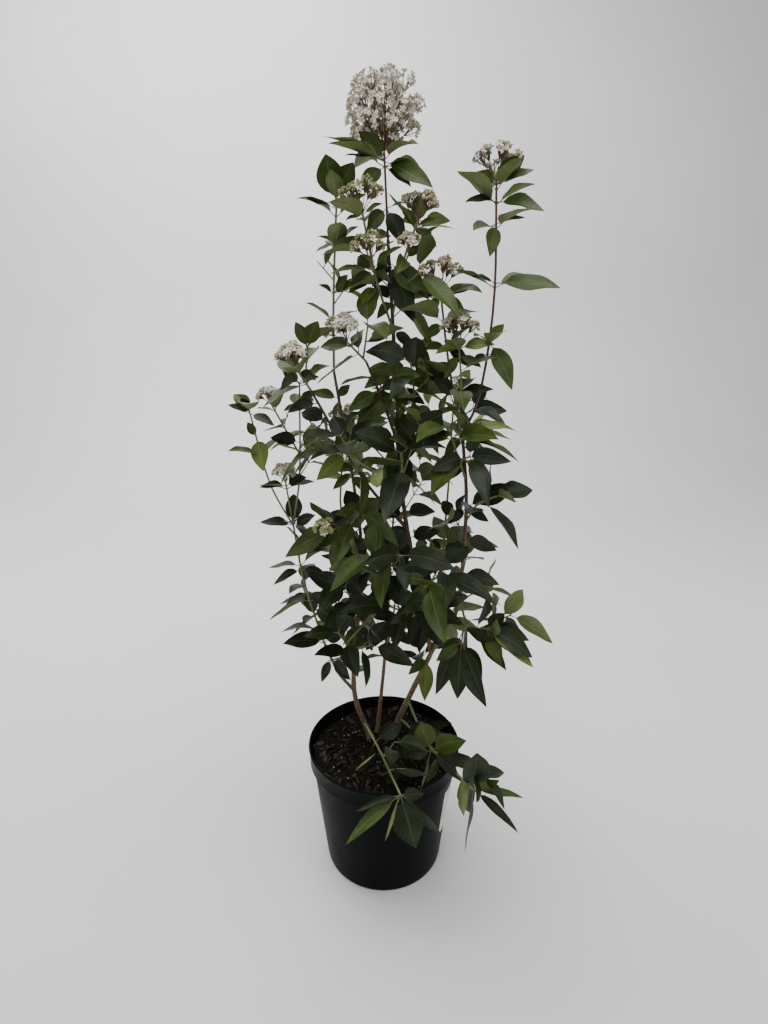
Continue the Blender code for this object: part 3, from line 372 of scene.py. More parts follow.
# Smooth line through the points: between two of them a cubic that also heeds the one before and the one
# after. It is cut into even lengths of about one step.
def course(points, step):
    p = np.array(points, float)
    p = np.vstack([2 * p[0] - p[1], p, 2 * p[-1] - p[-2]])
    t = np.linspace(0, 1, 12, endpoint=False)[:, None]
    spans = [0.5 * (2 * b + (c - a) * t + (2 * a - 5 * b + 4 * c - d) * t**2 + (3 * b - a - 3 * c + d) * t**3)
             for a, b, c, d in zip(p, p[1:], p[2:], p[3:])]
    line = np.vstack(spans + [p[-2:-1]])
    run = np.insert(np.cumsum(np.linalg.norm(np.diff(line, axis=0), axis=1)), 0, 0)
    even = np.linspace(0, run[-1], 2 + int(run[-1] / step))
    return np.stack([np.interp(even, run, line[:, k]) for k in range(3)], axis=1)


# Length of a line: the sum of its steps.
def lengthOf(line):
    return np.linalg.norm(np.diff(line, axis=0), axis=1).sum()


# Point and heading at a share of a line, straight between its two nearest points.
def placeOn(line, share):
    step = share * (len(line) - 1)
    low = min(int(step), len(line) - 2)
    span = line[low + 1] - line[low]
    return line[low] + span * (step - low), unit(span)


# Two directions square to an axis and to each other, the first as near east as it can be, or north where
# the axis itself runs east.
def frameOf(axis):
    east = np.array([1.0, 0.0, 0.0]) if abs(axis[0]) < 0.9 else np.array([0.0, 1.0, 0.0])
    first = unit(east - axis * (east @ axis))
    return first, np.cross(axis, first)


# Directions that lean away from an axis by one angle and stand round it by another: cosine of the lean
# along the axis, sine of it outwards. Arrays of angles serve too.
def leaning(axis, lean, turn):
    first, second = frameOf(axis)
    lean, turn = np.asarray(lean)[..., None], np.asarray(turn)[..., None]
    return np.cos(lean) * axis + np.sin(lean) * (np.cos(turn) * first + np.sin(turn) * second)


# Where a shoot leaves its limb: out along its heading until its foot clears the bark, or on the limb's end.
def seatedStart(piece, target, ownRadius, limbLines):
    point, axis = placeOn(limbLines[piece["on"]], piece["at"])
    thick = between(limbs[piece["on"]]["radius"], piece["at"])
    heading = unit(np.array(target) - point)
    slope = heading @ axis
    sine = math.sqrt(1 - slope**2)
    if piece["at"] >= 1.0:
        return point + axis * (clear + 1.3 * ownRadius * sine)
    return point + heading * (thick + clear + ownRadius * abs(slope)) / sine


# Everything of one finish is heaped here as arrays, and becomes one joined mesh.
class Heap:
    def __init__(self):
        self.points, self.quads, self.tris, self.uv = [], [], [], []
        self.quadSlots, self.triSlots = [], []
        self.count = 0

    def add(self, points, quads=(), tris=(), quadSlots=0, triSlots=0, uv=None):
        quads, tris = np.asarray(quads, int).reshape(-1, 4), np.asarray(tris, int).reshape(-1, 3)
        self.points.append(points)
        self.quads.append(quads + self.count)
        self.tris.append(tris + self.count)
        self.quadSlots.append(np.broadcast_to(quadSlots, len(quads)))
        self.triSlots.append(np.broadcast_to(triSlots, len(tris)))
        self.uv.append(np.zeros((len(points), 2)) if uv is None else uv)
        self.count += len(points)

    def piece(self, name, *materials, sharp=50):
        points, quads, tris = np.vstack(self.points) * cm, np.vstack(self.quads), np.vstack(self.tris)
        mesh = bpy.data.meshes.new(name)
        mesh.vertices.add(len(points))
        mesh.vertices.foreach_set("co", points.ravel())
        corners = np.concatenate([quads.ravel(), tris.ravel()])
        mesh.loops.add(len(corners))
        mesh.loops.foreach_set("vertex_index", corners)
        starts = np.concatenate([np.arange(len(quads)) * 4, 4 * len(quads) + np.arange(len(tris)) * 3])
        mesh.polygons.add(len(starts))
        mesh.polygons.foreach_set("loop_start", starts)
        slots = np.concatenate(self.quadSlots + self.triSlots)
        mesh.polygons.foreach_set("material_index", slots.astype(np.int32))
        mesh.update(calc_edges=True)
        layer = mesh.uv_layers.new(name="UVMap")
        layer.data.foreach_set("uv", np.vstack(self.uv)[corners].ravel())
        mesh.shade_smooth()
        mesh.set_sharp_from_angle(angle=math.radians(sharp))
        body = bpy.data.objects.new(name, mesh)
        bpy.context.scene.collection.objects.link(body)
        for material in materials:
            mesh.materials.append(material)
        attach(body, "root")
        print(name, len(quads) * 2 + len(tris), "triangles")
        return body


# A piece in the foliage's place: it stands for the named masses, which are hidden.
def foliagePiece(heap, name, nodes, *materials, sharp=50):
    piece = heap.piece(name, *materials, sharp=sharp)
    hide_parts(*nodes)


# Quads of a grid of rows by columns, the columns closed into a ring where round is true.
def gridQuads(rows, columns, round=True):
    i, j = np.meshgrid(np.arange(rows - 1), np.arange(columns - (not round)), indexing="ij")
    n = (j + 1) % columns
    return np.stack([i * columns + j, i * columns + n, (i + 1) * columns + n, (i + 1) * columns + j],
                    axis=-1).reshape(-1, 4)


# Fans that close a body of rings: each joins two neighbours of the first or last ring to that end's pole.
# The two poles follow the rings' points.
def poleFans(rows, sides):
    k = np.arange(sides)
    n = (k + 1) % sides
    last, pole = (rows - 1) * sides, 0 * k + rows * sides
    return np.concatenate([np.stack([n, k, pole], 1), np.stack([last + k, last + n, pole + 1], 1)])


# Tubes: a circle of the given radius carried along each path, square to it, with a pole at either end.
# paths is (tubes, points, 3) and radii fits (tubes, points, sides).
def addTubes(heap, paths, radii, sides):
    count, steps = paths.shape[:2]
    tangent = unit(np.gradient(paths, axis=1))
    east = np.where(np.abs(tangent[..., :1]) < 0.9, [1.0, 0.0, 0.0], [0.0, 1.0, 0.0])
    first = unit(east - tangent * (east * tangent).sum(-1, keepdims=True))
    second = np.cross(tangent, first)
    turn = np.arange(sides) * (2 * math.pi / sides)
    ring = np.cos(turn)[:, None] * first[:, :, None] + np.sin(turn)[:, None] * second[:, :, None]
    rings = paths[:, :, None] + np.broadcast_to(radii, (count, steps, sides))[..., None] * ring
    poles = np.stack([paths[:, 0], paths[:, -1]], axis=1)
    points = np.concatenate([rings.reshape(count, -1, 3), poles], axis=1)
    offsets = np.arange(count)[:, None, None] * points.shape[1]
    heap.add(points.reshape(-1, 3), gridQuads(steps, sides) + offsets, poleFans(steps, sides) + offsets)


# Leaves: a grid of share s along the rib and t across, between a point at the stalk and one at the tip.
# The rib rises along the leaf's axis and sags with the square of s; the half width is a skewed sine of s;
# the blade folds up from the rib and its margin waves; the underside lies a thin wall below and joins the
# top round the margin. The draws vary fold, wave and sideways curl.
leafMake = {"rows": 7, "columns": 5, "stalk": 0.13, "thickness": 0.010, "half": 0.52, "skew": 0.86,
            "blunt": 0.76, "taper": 0.35, "fold": 0.30, "foldDraw": 0.6, "foldCurve": 1.4, "wave": 0.030,
            "waves": 7.5, "waveDraw": 3.0, "curl": 0.10}


def addLeaves(heap, leaves, rng):
    make = leafMake
    base, along, side, top = (np.array([leaf[k] for leaf in leaves])[:, None, None] for k in range(4))
    length, droop, width = (np.array([leaf[k] for leaf in leaves])[:, None, None, None] for k in (4, 5, 6))
    count, rows, columns = len(leaves), make["rows"], make["columns"]
    s = np.linspace(0, 1, rows + 2)[None, :, None, None]
    t = np.linspace(-1, 1, columns)[None, None, :, None]
    arch = np.sin(math.pi * s)
    reach = make["stalk"] + (1 - make["stalk"]) * s
    rib = base + length * (reach * along - droop * reach**2 * upward)
    half = np.sin(math.pi * s ** make["skew"]).clip(0) ** make["blunt"] * (1 - make["taper"] * s**3)
    half = make["half"] * width * length * half
    draw = rng.uniform(-1, 1, (3, count, 1, 1, 1))
    fold = make["fold"] * (1 + make["foldDraw"] * draw[0]) * half * (np.abs(t) ** make["foldCurve"])
    wave = make["wave"] * length * np.sin(make["waves"] * s + make["waveDraw"] * draw[1]) * t**2 * arch
    curl = make["curl"] * draw[2] * length * s**2 * side
    upper = rib + curl + t * half * side + (fold + wave) * top
    lower = upper - make["thickness"] * length * (1 - t**2) * arch * top
    ends = upper[:, [0, -1], columns // 2]
    points = np.concatenate([upper[:, 1:-1].reshape(count, -1, 3),
                             lower[:, 1:-1, 1:-1].reshape(count, -1, 3), ends], axis=1)
    over = np.arange(rows * columns).reshape(rows, columns)
    under = over.copy()                                  # the margin's points are shared
    under[:, 1:-1] = rows * columns + np.arange(rows * (columns - 2)).reshape(rows, columns - 2)
    each = points.shape[1]
    foot, tip = np.full(columns - 1, each - 2), np.full(columns - 1, each - 1)
    topQuads = np.stack([over[:-1, :-1], over[:-1, 1:], over[1:, 1:], over[1:, :-1]], -1).reshape(-1, 4)
    lowQuads = np.stack([under[:-1, :-1], under[1:, :-1], under[1:, 1:], under[:-1, 1:]], -1).reshape(-1, 4)
    fans = [(foot, over[0, 1:], over[0, :-1]), (over[-1, :-1], over[-1, 1:], tip),
            (foot, under[0, :-1], under[0, 1:]), (under[-1, 1:], under[-1, :-1], tip)]
    tris = np.concatenate([np.stack(fan, 1) for fan in fans])
    offsets = np.arange(count)[:, None, None] * each
    place = np.concatenate(np.broadcast_arrays(0.5 + 0.5 * t, s), -1)[0]
    uv = np.concatenate([place[1:-1].reshape(-1, 2), place[1:-1, 1:-1].reshape(-1, 2), [[0.5, 0], [0.5, 1]]])
    heap.add(points.reshape(-1, 3), np.concatenate([topQuads, lowQuads]) + offsets, tris + offsets,
             np.tile(np.repeat([0, 1], len(topQuads)), count),
             np.tile(np.repeat([0, 1], len(tris) // 2), count), np.tile(uv, (count, 1)))


# Small closed shapes that are repeated: each copy is the model scaled, turned to its own axis and moved.
def addCopies(heap, model, centres, axes, sizes, spins):
    points, tris = model
    centres, axes = np.asarray(centres), unit(np.asarray(axes))
    east = np.where(np.abs(axes[:, :1]) < 0.9, [1.0, 0.0, 0.0], [0.0, 1.0, 0.0])
    first = unit(east - axes * (east * axes).sum(-1, keepdims=True))
    second = np.cross(axes, first)
    turned = np.cos(spins)[:, None] * first + np.sin(spins)[:, None] * second
    across = np.cross(axes, turned)
    basis = np.stack([turned, across, axes], axis=1) * np.asarray(sizes).reshape(-1, 1, 1)
    placed = centres[:, None] + points @ basis
    offsets = np.arange(len(centres))[:, None, None] * len(points)
    heap.add(placed.reshape(-1, 3), tris=(tris + offsets).reshape(-1, 3))


# Flower: a star-shaped rim of five round lobes about a sunk eye, closed below by a narrow tube. Radii and
# heights are shares of the flower's size.
flowerMake = {"lobes": 5, "radii": (0.50, 1.0, 1.0), "lifts": (0.02, 0.16, 0.16), "tube": 0.16,
              "tubeTop": -0.55, "eye": -0.08, "foot": -0.8}


def flowerModel():
    make, lobes = flowerMake, flowerMake["lobes"]
    sides = 3 * lobes
    turn = np.arange(sides) * (2 * math.pi / sides)
    wide, lift = np.tile(make["radii"], lobes), np.tile(make["lifts"], lobes)
    rim = np.stack([wide * np.cos(turn), wide * np.sin(turn), lift], 1)
    tubeTurn = turn[::3]
    throat = np.stack([make["tube"] * np.cos(tubeTurn), make["tube"] * np.sin(tubeTurn),
                       0 * tubeTurn + make["tubeTop"]], 1)
    points = np.vstack([rim, throat, [[0, 0, make["eye"]], [0, 0, make["foot"]]]])
    eye, foot = len(points) - 2, len(points) - 1
    k, m = np.arange(sides), np.arange(lobes)
    n = (k + 1) % sides
    low = sides + k // 3
    lowNext = sides + ((k + 1) // 3) % lobes
    tris = [np.stack([k, n, 0 * k + eye], 1), np.stack([n, k, low], 1), np.stack([low, lowNext, n], 1)[2::3],
            np.stack([sides + (m + 1) % lobes, sides + m, 0 * m + foot], 1)]
    return points, np.concatenate(tris)


# Round body: rings of a circle whose radius follows a profile from pole to pole.
def roundModel(profile, sides):
    profile = np.array(profile)
    turn = np.arange(sides) * (2 * math.pi / sides)
    radius, height = profile[1:-1, :1], profile[1:-1, 1:]
    body = np.stack([radius * np.cos(turn), radius * np.sin(turn), height + 0 * turn], -1).reshape(-1, 3)
    points = np.vstack([body, [[0, 0, profile[0, 1]], [0, 0, profile[-1, 1]]]])
    quads = gridQuads(len(radius), sides)
    return points, np.concatenate([quads[:, [0, 1, 2]], quads[:, [0, 2, 3]], poleFans(len(radius), sides)])


# Shader maths as expressions: Value wraps a socket of numbers, and each operator adds its Math node.
class Value:
    def __init__(self, nodes, socket):
        self.nodes, self.socket = nodes, socket

    def math(self, operation, *others):
        return Value(self.nodes, self.nodes.add("ShaderNodeMath", {"operation": operation}, self, *others))

    def __add__(self, other):
        return self.math("ADD", other)

    def __sub__(self, other):
        return self.math("SUBTRACT", other)

    def __rsub__(self, other):
        return (self * -1.0) + other

    def __mul__(self, other):
        return self.math("MULTIPLY", other)

    def __abs__(self):
        return self.math("ABSOLUTE")

    __radd__, __rmul__ = __add__, __mul__

    # From 0 at low to 1 at high, with a soft start and end.
    def smooth(self, low, high):
        settings = {"interpolation_type": "SMOOTHSTEP"}
        return Value(self.nodes, self.nodes.add("ShaderNodeMapRange", settings, self, low, high))


# One material: add makes any node from its type, its settings and its inputs' values or links.
class Nodes:
    def __init__(self, name, **fixed):
        self.material = bpy.data.materials.new(name)
        self.material.use_nodes = True
        self.tree = self.material.node_tree
        self.shader = self.tree.nodes["Principled BSDF"]
        for key, value in fixed.items():
            self.shader.inputs[key].default_value = value

    def add(self, kind, settings, *inputs, output=0, **named):
        node = self.tree.nodes.new(kind)
        for key, value in settings.items():
            setattr(node, key, value)
        for key, value in [*enumerate(inputs), *named.items()]:
            self.plug(node.inputs[key], value)
        return node.outputs[output]

    def plug(self, socket, value):
        if isinstance(value, Value):
            value = value.socket
        if isinstance(value, bpy.types.NodeSocket):
            self.tree.links.new(value, socket)
        else:
            socket.default_value = value

    def object(self):
        return self.add("ShaderNodeTexCoord", {}, output="Object")

    def noise(self, scale, detail=4.0, rough=0.6, at=None):
        return Value(self, self.add("ShaderNodeTexNoise", {}, Vector=at or self.object(), Scale=scale,
                                    Detail=detail, Roughness=rough, output="Fac"))

    def axes(self, vector):
        node = self.tree.nodes.new("ShaderNodeSeparateXYZ")
        self.plug(node.inputs[0], vector)
        return [Value(self, socket) for socket in node.outputs]

    # The Mix node's colour inputs are its seventh and eighth.
    def mix(self, share, a, b):
        node = self.tree.nodes.new("ShaderNodeMix")
        node.data_type = "RGBA"
        for socket, value in zip((node.inputs[0], node.inputs[6], node.inputs[7]), (share, a, b)):
            self.plug(socket, (*value, 1.0) if isinstance(value, tuple) else value)
        return node.outputs[2]

    def finish(self, colour, rough, height=None, strength=0.4, distance=0.001):
        self.plug(self.shader.inputs["Base Color"], colour)
        self.plug(self.shader.inputs["Roughness"], rough)
        if height is not None:
            bump = self.add("ShaderNodeBump", {}, Strength=strength, Distance=distance, Height=height)
            self.plug(self.shader.inputs["Normal"], bump)
        return self.material


# Leaf: two near greens blended in soft patches, a paler rib where the place across is near the middle, and
# side veins where a slanted count along the leaf is near a half.
# The dark, mid and light tones are one leaf green at three brightnesses, and they paint shade and light: a
# leaf in shade gets the darker copy, a lit leaf the paler one. "under" is the leaf's own paler underside.
leafLook = {
    "dark": {"deep": (0.006, 0.011, 0.002), "brighter": (0.016, 0.026, 0.005), "rib": (0.045, 0.065, 0.018)},
    "mid": {"deep": (0.029, 0.048, 0.006), "brighter": (0.054, 0.080, 0.010), "rib": (0.110, 0.140, 0.030)},
    "light": {"deep": (0.074, 0.106, 0.015), "brighter": (0.125, 0.160, 0.027), "rib": (0.220, 0.250, 0.070)},
    "under": {"deep": (0.110, 0.138, 0.044), "brighter": (0.160, 0.190, 0.070), "rib": (0.240, 0.270, 0.120)},
}
veinLook = {"ribWidth": (0.012, 0.045), "count": 9.0, "slant": 5.0, "width": 0.10, "patches": 55.0,
            "patchEdge": (0.35, 0.68), "veinShade": 0.22, "ribShade": 0.6, "veinHeight": 0.6,
            "ribHeight": 0.8, "sheen": 140.0, "sheenDraw": 0.16, "rough": 0.34, "underRough": 0.62}


def leafMaterial(tone):
    look, vein = leafLook[tone], veinLook
    nodes = Nodes("leaf" + tone.capitalize(), **{"Specular IOR Level": 0.26})
    across, along, _ = nodes.axes(nodes.add("ShaderNodeUVMap", {}))
    aside = abs(across - 0.5)
    rib = 1.0 - aside.smooth(*vein["ribWidth"])
    slant = along * vein["count"] - aside * vein["slant"]
    veins = abs((slant - slant.math("FLOOR")) - 0.5).smooth(0.0, vein["width"])
    patches = nodes.noise(vein["patches"]).smooth(*vein["patchEdge"])
    colour = nodes.mix(patches, look["deep"], look["brighter"])
    colour = nodes.mix((1.0 - veins) * vein["veinShade"], colour, look["rib"])
    colour = nodes.mix(rib * vein["ribShade"], colour, look["rib"])
    rough = vein["underRough" if tone == "under" else "rough"]
    rough = nodes.noise(vein["sheen"]) * vein["sheenDraw"] + rough
    return nodes.finish(colour, rough, veins * vein["veinHeight"] - rib * vein["ribHeight"], strength=0.35)


# Bark: noise drawn out along the stem is the grain, a rounder noise the pores, and the colours blend from
# old wood below to young wood above, between two heights in metres.
woodLook = {
    "old": ((0.235, 0.150, 0.085), (0.085, 0.052, 0.030)),
    "red": ((0.075, 0.022, 0.022), (0.026, 0.008, 0.010)),
    "pale": ((0.120, 0.125, 0.055), (0.055, 0.060, 0.024)),
}
barkLook = {"grain": 900.0, "stretch": 0.16, "grainEdge": (0.35, 0.7), "pores": 420.0,
            "poreEdge": (0.62, 0.72), "poreShade": 0.5, "poreGlow": 2.2, "poreHeight": 0.4, "rough": 0.5,
            "roughDraw": 0.25, "relief": 0.5}


def barkMaterial(name, low, high, fromHeight, toHeight):
    look, nodes = barkLook, Nodes(name)
    where = nodes.object()
    blend = nodes.axes(where)[2].smooth(fromHeight, toHeight)
    stretched = nodes.add("ShaderNodeMapping", {}, Vector=where, Scale=(1.0, 1.0, look["stretch"]))
    grain = nodes.noise(look["grain"], 5.0, 0.65, stretched)
    pores = nodes.noise(look["pores"], 2.0).smooth(*look["poreEdge"])
    light, dark = nodes.mix(blend, low[0], high[0]), nodes.mix(blend, low[1], high[1])
    colour = nodes.mix(grain.smooth(*look["grainEdge"]), dark, light)
    glow = tuple(min(1.0, look["poreGlow"] * c) for c in low[0])
    colour = nodes.mix(pores * look["poreShade"], colour, glow)
    return nodes.finish(colour, grain * look["roughDraw"] + look["rough"], grain + pores * look["poreHeight"],
                        look["relief"])


# Mottled finish: two colours blended by a soft noise, which is the relief too.
def mottled(name, first, second, scale, rough, strength=0.3, **fixed):
    nodes = Nodes(name, **fixed)
    cloud = nodes.noise(scale)
    colour = nodes.mix(cloud.smooth(0.38, 0.66), first, second)
    return nodes.finish(colour, nodes.noise(2.0 * scale) * 0.2 + rough, cloud, strength)


print("materials")
leafUnder = leafMaterial("under")
leafTop = {tone: leafMaterial(tone) for tone in ("dark", "mid", "light")}
redBark = barkMaterial("bark", woodLook["old"], woodLook["red"], 0.34, 0.50)
paleBark = barkMaterial("paleBark", woodLook["old"], woodLook["pale"], 0.30, 0.46)

# Plain finishes: two colours, the scale of the mottling in cells a metre, and roughness.
finishLook = {
    "greenTwig": ((0.105, 0.140, 0.045), (0.165, 0.190, 0.070), 260.0, 0.45),
    "redTwig": ((0.060, 0.020, 0.018), (0.115, 0.045, 0.030), 260.0, 0.45),
    "leafStalk": ((0.110, 0.120, 0.045), (0.190, 0.110, 0.060), 300.0, 0.5),
    "petals": ((0.560, 0.500, 0.420), (0.760, 0.710, 0.630), 420.0, 0.6),
    "buds": ((0.260, 0.205, 0.120), (0.470, 0.410, 0.270), 420.0, 0.55),
    "greenBuds": ((0.160, 0.180, 0.060), (0.330, 0.320, 0.140), 420.0, 0.55),
    "flowerStalks": ((0.085, 0.040, 0.024), (0.170, 0.130, 0.050), 420.0, 0.6),
}
finishes = {name: mottled(name, *look) for name, look in finishLook.items()}

# Limbs: lines of the stems and boughs, from the soil up.
print("limbs")
limbLines, limbShapes = {}, {}
for name, limb in limbs.items():
    others = [*limb["via"], limb["tip"]]
    if "on" in limb:
        start = seatedStart(limb, others[0], limb["radius"][0], limbLines)
    else:
        start = np.array(limb["foot"]) + (0, 0, clear)
    limbLines[name] = course([start, *others], limbStep)
    limbShapes[name] = [start, *others]

# Bark relief: the radius tapers from foot to tip, flares at the soil in three lobes, swells at joints one
# gap apart, and a few sines raise low ridges. "waves" gives each sine's height, its turns round the limb
# and its rate along it.
barkMake = {"sides": 16, "step": 0.16, "shrink": 0.97, "ridge": 0.045, "joint": 0.12, "jointGap": 3.2,
            "jointLength": 0.16, "flare": 0.6, "flareHeight": 0.7, "flareLobe": 0.35,
            "waves": ((1.0, 2, 0.9), (0.7, 5, -0.6), (0.5, 2, 3.1)), "waveSum": 2.2}
redLimbs = ("main_stem", "right_bough", "diagonal_bough", "centre_bough", "right_stem")
lastShare = 0.995                                        # a foot is carried in no nearer to a limb's end


def addLimb(heap, name):
    limb, make = limbs[name], barkMake
    line = course(limbShapes[name], make["step"])
    if "on" in limb:
        line = np.vstack([placeOn(limbLines[limb["on"]], min(limb["at"], lastShare))[0][None], line])
    share = np.linspace(0, 1, len(line))[:, None]
    run = share * lengthOf(line)
    turn = np.arange(make["sides"])[None] * (2 * math.pi / make["sides"])
    radius = between(limb["radius"], share)
    if "foot" in limb:
        flare = make["flare"] * np.exp(-run / make["flareHeight"])
        radius = radius * (1 + flare * (1 + make["flareLobe"] * np.cos(3 * turn + 1)))
    ridges = sum(high * np.sin(turns * turn + rate * run) for high, turns, rate in make["waves"])
    joints = np.exp(-((run % make["jointGap"] - 0.5 * make["jointGap"]) / make["jointLength"]) ** 2)
    radius = radius * (make["shrink"] + make["ridge"] * ridges / make["waveSum"] + make["joint"] * joints)
    addTubes(heap, line[None], radius[None], make["sides"])


woodHeap, greenHeap = Heap(), Heap()
for name in limbs:
    addLimb(woodHeap if name in redLimbs else greenHeap, name)
redWoodPiece = woodHeap.piece("redBarkStems", redBark)
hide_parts(*redLimbs)
paleWoodPiece = greenHeap.piece("paleBarkStems", paleBark)
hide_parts(*[name for name in limbs if name not in redLimbs])

# Shoots: the same twigs, leaves and flower heads as the solids, found again on each mass.
print("shoots")
onTolerance = 0.0004                                     # metres


# Whether a point lies on the solid: its nearest point on the mesh is hardly away from it.
def onSolid(name, point):
    hit, place, _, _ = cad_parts[name].closest_point_on_mesh([c * cm for c in point])
    return hit and np.linalg.norm(np.array(place) - np.asarray(point) * cm) < onTolerance


# Side twigs: spaced along their shoot and turned by the golden angle, each straight and leaning outwards.
sprayMake = {"first": 0.40, "span": 0.45, "shift": 0.3, "twist": 0.4, "lean": 52, "leanDraw": 12,
             "length": 4.6, "lengthDraw": 0.8, "nodes": (0.45, 0.72, 1.0), "leaf": 0.92}


def sideTwigs(shoot, line, seed):
    rng = np.random.default_rng(seed)
    make, twigs = sprayMake, []
    for k in range(shoot.get("sprays", 0)):
        draw = rng.uniform(-1, 1, 4)
        share = make["first"] + make["span"] * (k + 0.5 + make["shift"] * draw[0]) / shoot["sprays"]
        point, axis = placeOn(line, share)
        turn = k * goldenAngle + math.radians(shoot["turn"]) + make["twist"] * draw[1]
        lean = math.radians(make["lean"] + make["leanDraw"] * draw[2])
        tip = point + (make["length"] + make["lengthDraw"] * draw[3]) * leaning(axis, lean, turn)
        twigs.append(dict(name="spray", on=shoot["name"], at=share, tip=tuple(tip), nodes=make["nodes"],
                          turn=math.degrees(turn), leaf=make["leaf"] * shoot["leaf"]))
    return twigs


# A shoot's line: from the bark of its limb, or from the line of its parent shoot, through its points.
def growShoot(shoot, lines):
    radius = shootRadius if shoot["on"] in limbs else twigRadius
    others = [*shoot.get("via", []), shoot["tip"]]
    if shoot["on"] in limbs:
        start = seatedStart(shoot, others[0], radius[0], limbLines)
    else:
        start = placeOn(lines[shoot["on"]], shoot["at"])[0]
    return course([start, *others], shootStep if "via" in shoot else straightStep)


# One leaf: base, axis along it, direction across, upward side, length, sag and width as a share. The
# axis leans from the shoot by the rise, and the blade rolls about it.
def leafOf(base, axis, azimuth, rise, length, droop, roll, width):
    along = leaning(axis, rise, azimuth)
    side = unit(np.cross(along, axis))
    top = np.cross(side, along)
    side = math.cos(roll) * side + math.sin(roll) * top
    return base, along, side, np.cross(side, along), length, droop, width


# Leaf pairs: one at each joint, each pair a quarter turn round from the one below, with small draws.
pairMake = {"turnDraw": 14, "riseDraw": 12, "topShare": 0.97, "topLift": 12, "lengthDraw": 0.16,
            "droopDraw": 0.16, "rollDraw": 0.35, "width": 0.41}


def leafPlaces(shoot, line, seed):
    rng = np.random.default_rng(seed)
    make = pairMake
    top = 1 - (headJoint if "head" in shoot else topJoint) / lengthOf(line)
    for k, share in enumerate(shoot["nodes"]):
        base, axis = placeOn(line, min(share, top))
        lift = make["topLift"] * (share > make["topShare"])
        for side in (0, 1):
            draw = rng.uniform(-1, 1, 5)
            azimuth = math.radians(shoot["turn"] + 90 * k + 180 * side + make["turnDraw"] * draw[0])
            rise = math.radians(shoot.get("rise", leafRise) + make["riseDraw"] * draw[1] - lift)
            length = shoot["leaf"] * (1 + make["lengthDraw"] * draw[2])
            droop = leafDroop + make["droopDraw"] * draw[3]
            yield base, axis, azimuth, rise, length, droop, make["rollDraw"] * draw[4]


# Flower heads: rays leave the hub in a golden spiral, over a ball or a dome, and each ends in a cluster.
rayMake = {"tall": 1.8, "twist": 0.25, "stretch": 0.05, "ballCap": 1.62, "domeCap": 0.72, "domeFoot": 0.58,
           "domeLift": 0.42, "domeTurn": 1.25}


def rayEnds(hub, axis, radius, height, rays, seed):
    rng = np.random.default_rng(seed)
    first, second = frameOf(axis)
    make, ends, ball = rayMake, [], height > rayMake["tall"] * radius
    for k in range(rays):
        share = (k + 0.5) / rays
        wobble = rng.uniform(-1, 1, 2)
        turn = k * goldenAngle + make["twist"] * wobble[0]
        if ball:
            polar = math.acos(1 - make["ballCap"] * share)
            rise = height - radius * (1 - math.cos(polar))
        else:
            polar = math.acos(1 - make["domeCap"] * share)
            rise = height * (make["domeFoot"] + make["domeLift"] * math.cos(make["domeTurn"] * polar))
        out = math.cos(turn) * first + math.sin(turn) * second
        ray = rise * axis + radius * math.sin(polar) * out
        ends.append(hub + ray * (1 + make["stretch"] * wobble[1]))
    return np.array(ends), ball


# Room between leaves and the solids' box, and the sizes that a leaf may be cut to so as to keep it.
boxMargin = 0.02
leafLow, leafHigh = cadLow + boxMargin, cadHigh - boxMargin
trimSizes = (1.0, 0.96, 0.9, 0.82, 0.74)
toneLeaves = {"dark": [], "mid": [], "light": []}
stalks, twigPaths, twigRadii, redPaths, redRadii, heads = [], [], [], [], [], []
shootCount = 0

# The tone of a spray is painted shade and light: dark low in the plant, where the canopy above shades it,
# paler towards the top, where the light falls, with a draw added.
toneMake = {"from": 30.0, "span": 50.0, "draw": 0.38, "mid": 0.42, "light": 0.92}


def toneOf(height, draw):
    brighter = (height - toneMake["from"]) / toneMake["span"] + toneMake["draw"] * draw
    return "dark" if brighter < toneMake["mid"] else "mid" if brighter < toneMake["light"] else "light"


# A leaf is kept where the two corners of its tip and its sides at half length are in the solids' box, a
# little shorter if need be. Its stalk is a line along the rib from the shoot to just inside the blade.
stalkMake = {"points": 4, "sides": 4, "overlap": 0.03, "radius": (0.065, 0.045), "tipHalf": 0.1}


def keepLeaf(leaf, tone):
    base, along, side, top, length, droop, width = leaf
    for size in trimSizes:
        reach = size * length
        tip, middle = base + reach * (along - droop * upward), base + 0.5 * reach * along
        aside, wide = stalkMake["tipHalf"] * reach * side, 0.5 * reach * width * side
        ends = np.array([tip + aside, tip - aside, middle + wide, middle - wide])
        if ((ends > leafLow) & (ends < leafHigh)).all():
            break
    else:
        return
    toneLeaves[tone].append((base, along, side, top, reach, droop, width))
    s = np.linspace(0, leafMake["stalk"] + stalkMake["overlap"], stalkMake["points"])[:, None]
    stalks.append(base + reach * (s * along - droop * s**2 * upward))


# A line cut again into a given number of points, straight between those that it has.
def evenPath(line, count=pathPoints):
    places = np.linspace(0, len(line) - 1, count)
    return np.stack([np.interp(places, np.arange(len(line)), line[:, k]) for k in range(3)], axis=1)


# Whether points are in a box and, low down, outside the pot's rim.
potRoom = {"height": 15.2, "radius": 10.2}


def inReach(points, low, high):
    points = np.atleast_2d(points)
    inBox = ((points >= low) & (points <= high)).all()
    radius = np.hypot(points[:, 0], points[:, 1])
    return bool(inBox and ((points[:, 2] > potRoom["height"]) | (radius > potRoom["radius"])).all())


# Finer twigs: short straight shoots in a golden spiral round their line, each leaning outwards and a
# little up, with two pairs of smaller leaves, kept only where they stay in reach.
fineMake = {"gap": 2.1, "reach": (2.0, 4.2), "leaf": (3.0, 4.8), "pairs": 2, "margin": 0.6, "inset": 0.1,
            "first": 0.12, "span": 0.84, "lean": (38, 68), "lift": 0.25, "firstPair": 0.62, "pairGap": 0.36,
            "pairTurn": 1.57, "turnDraw": 0.3, "rise": 54, "riseDraw": 14, "droop": 0.32, "droopDraw": 0.16,
            "rollDraw": 0.4, "width": 0.44, "radius": (0.085, 0.055)}


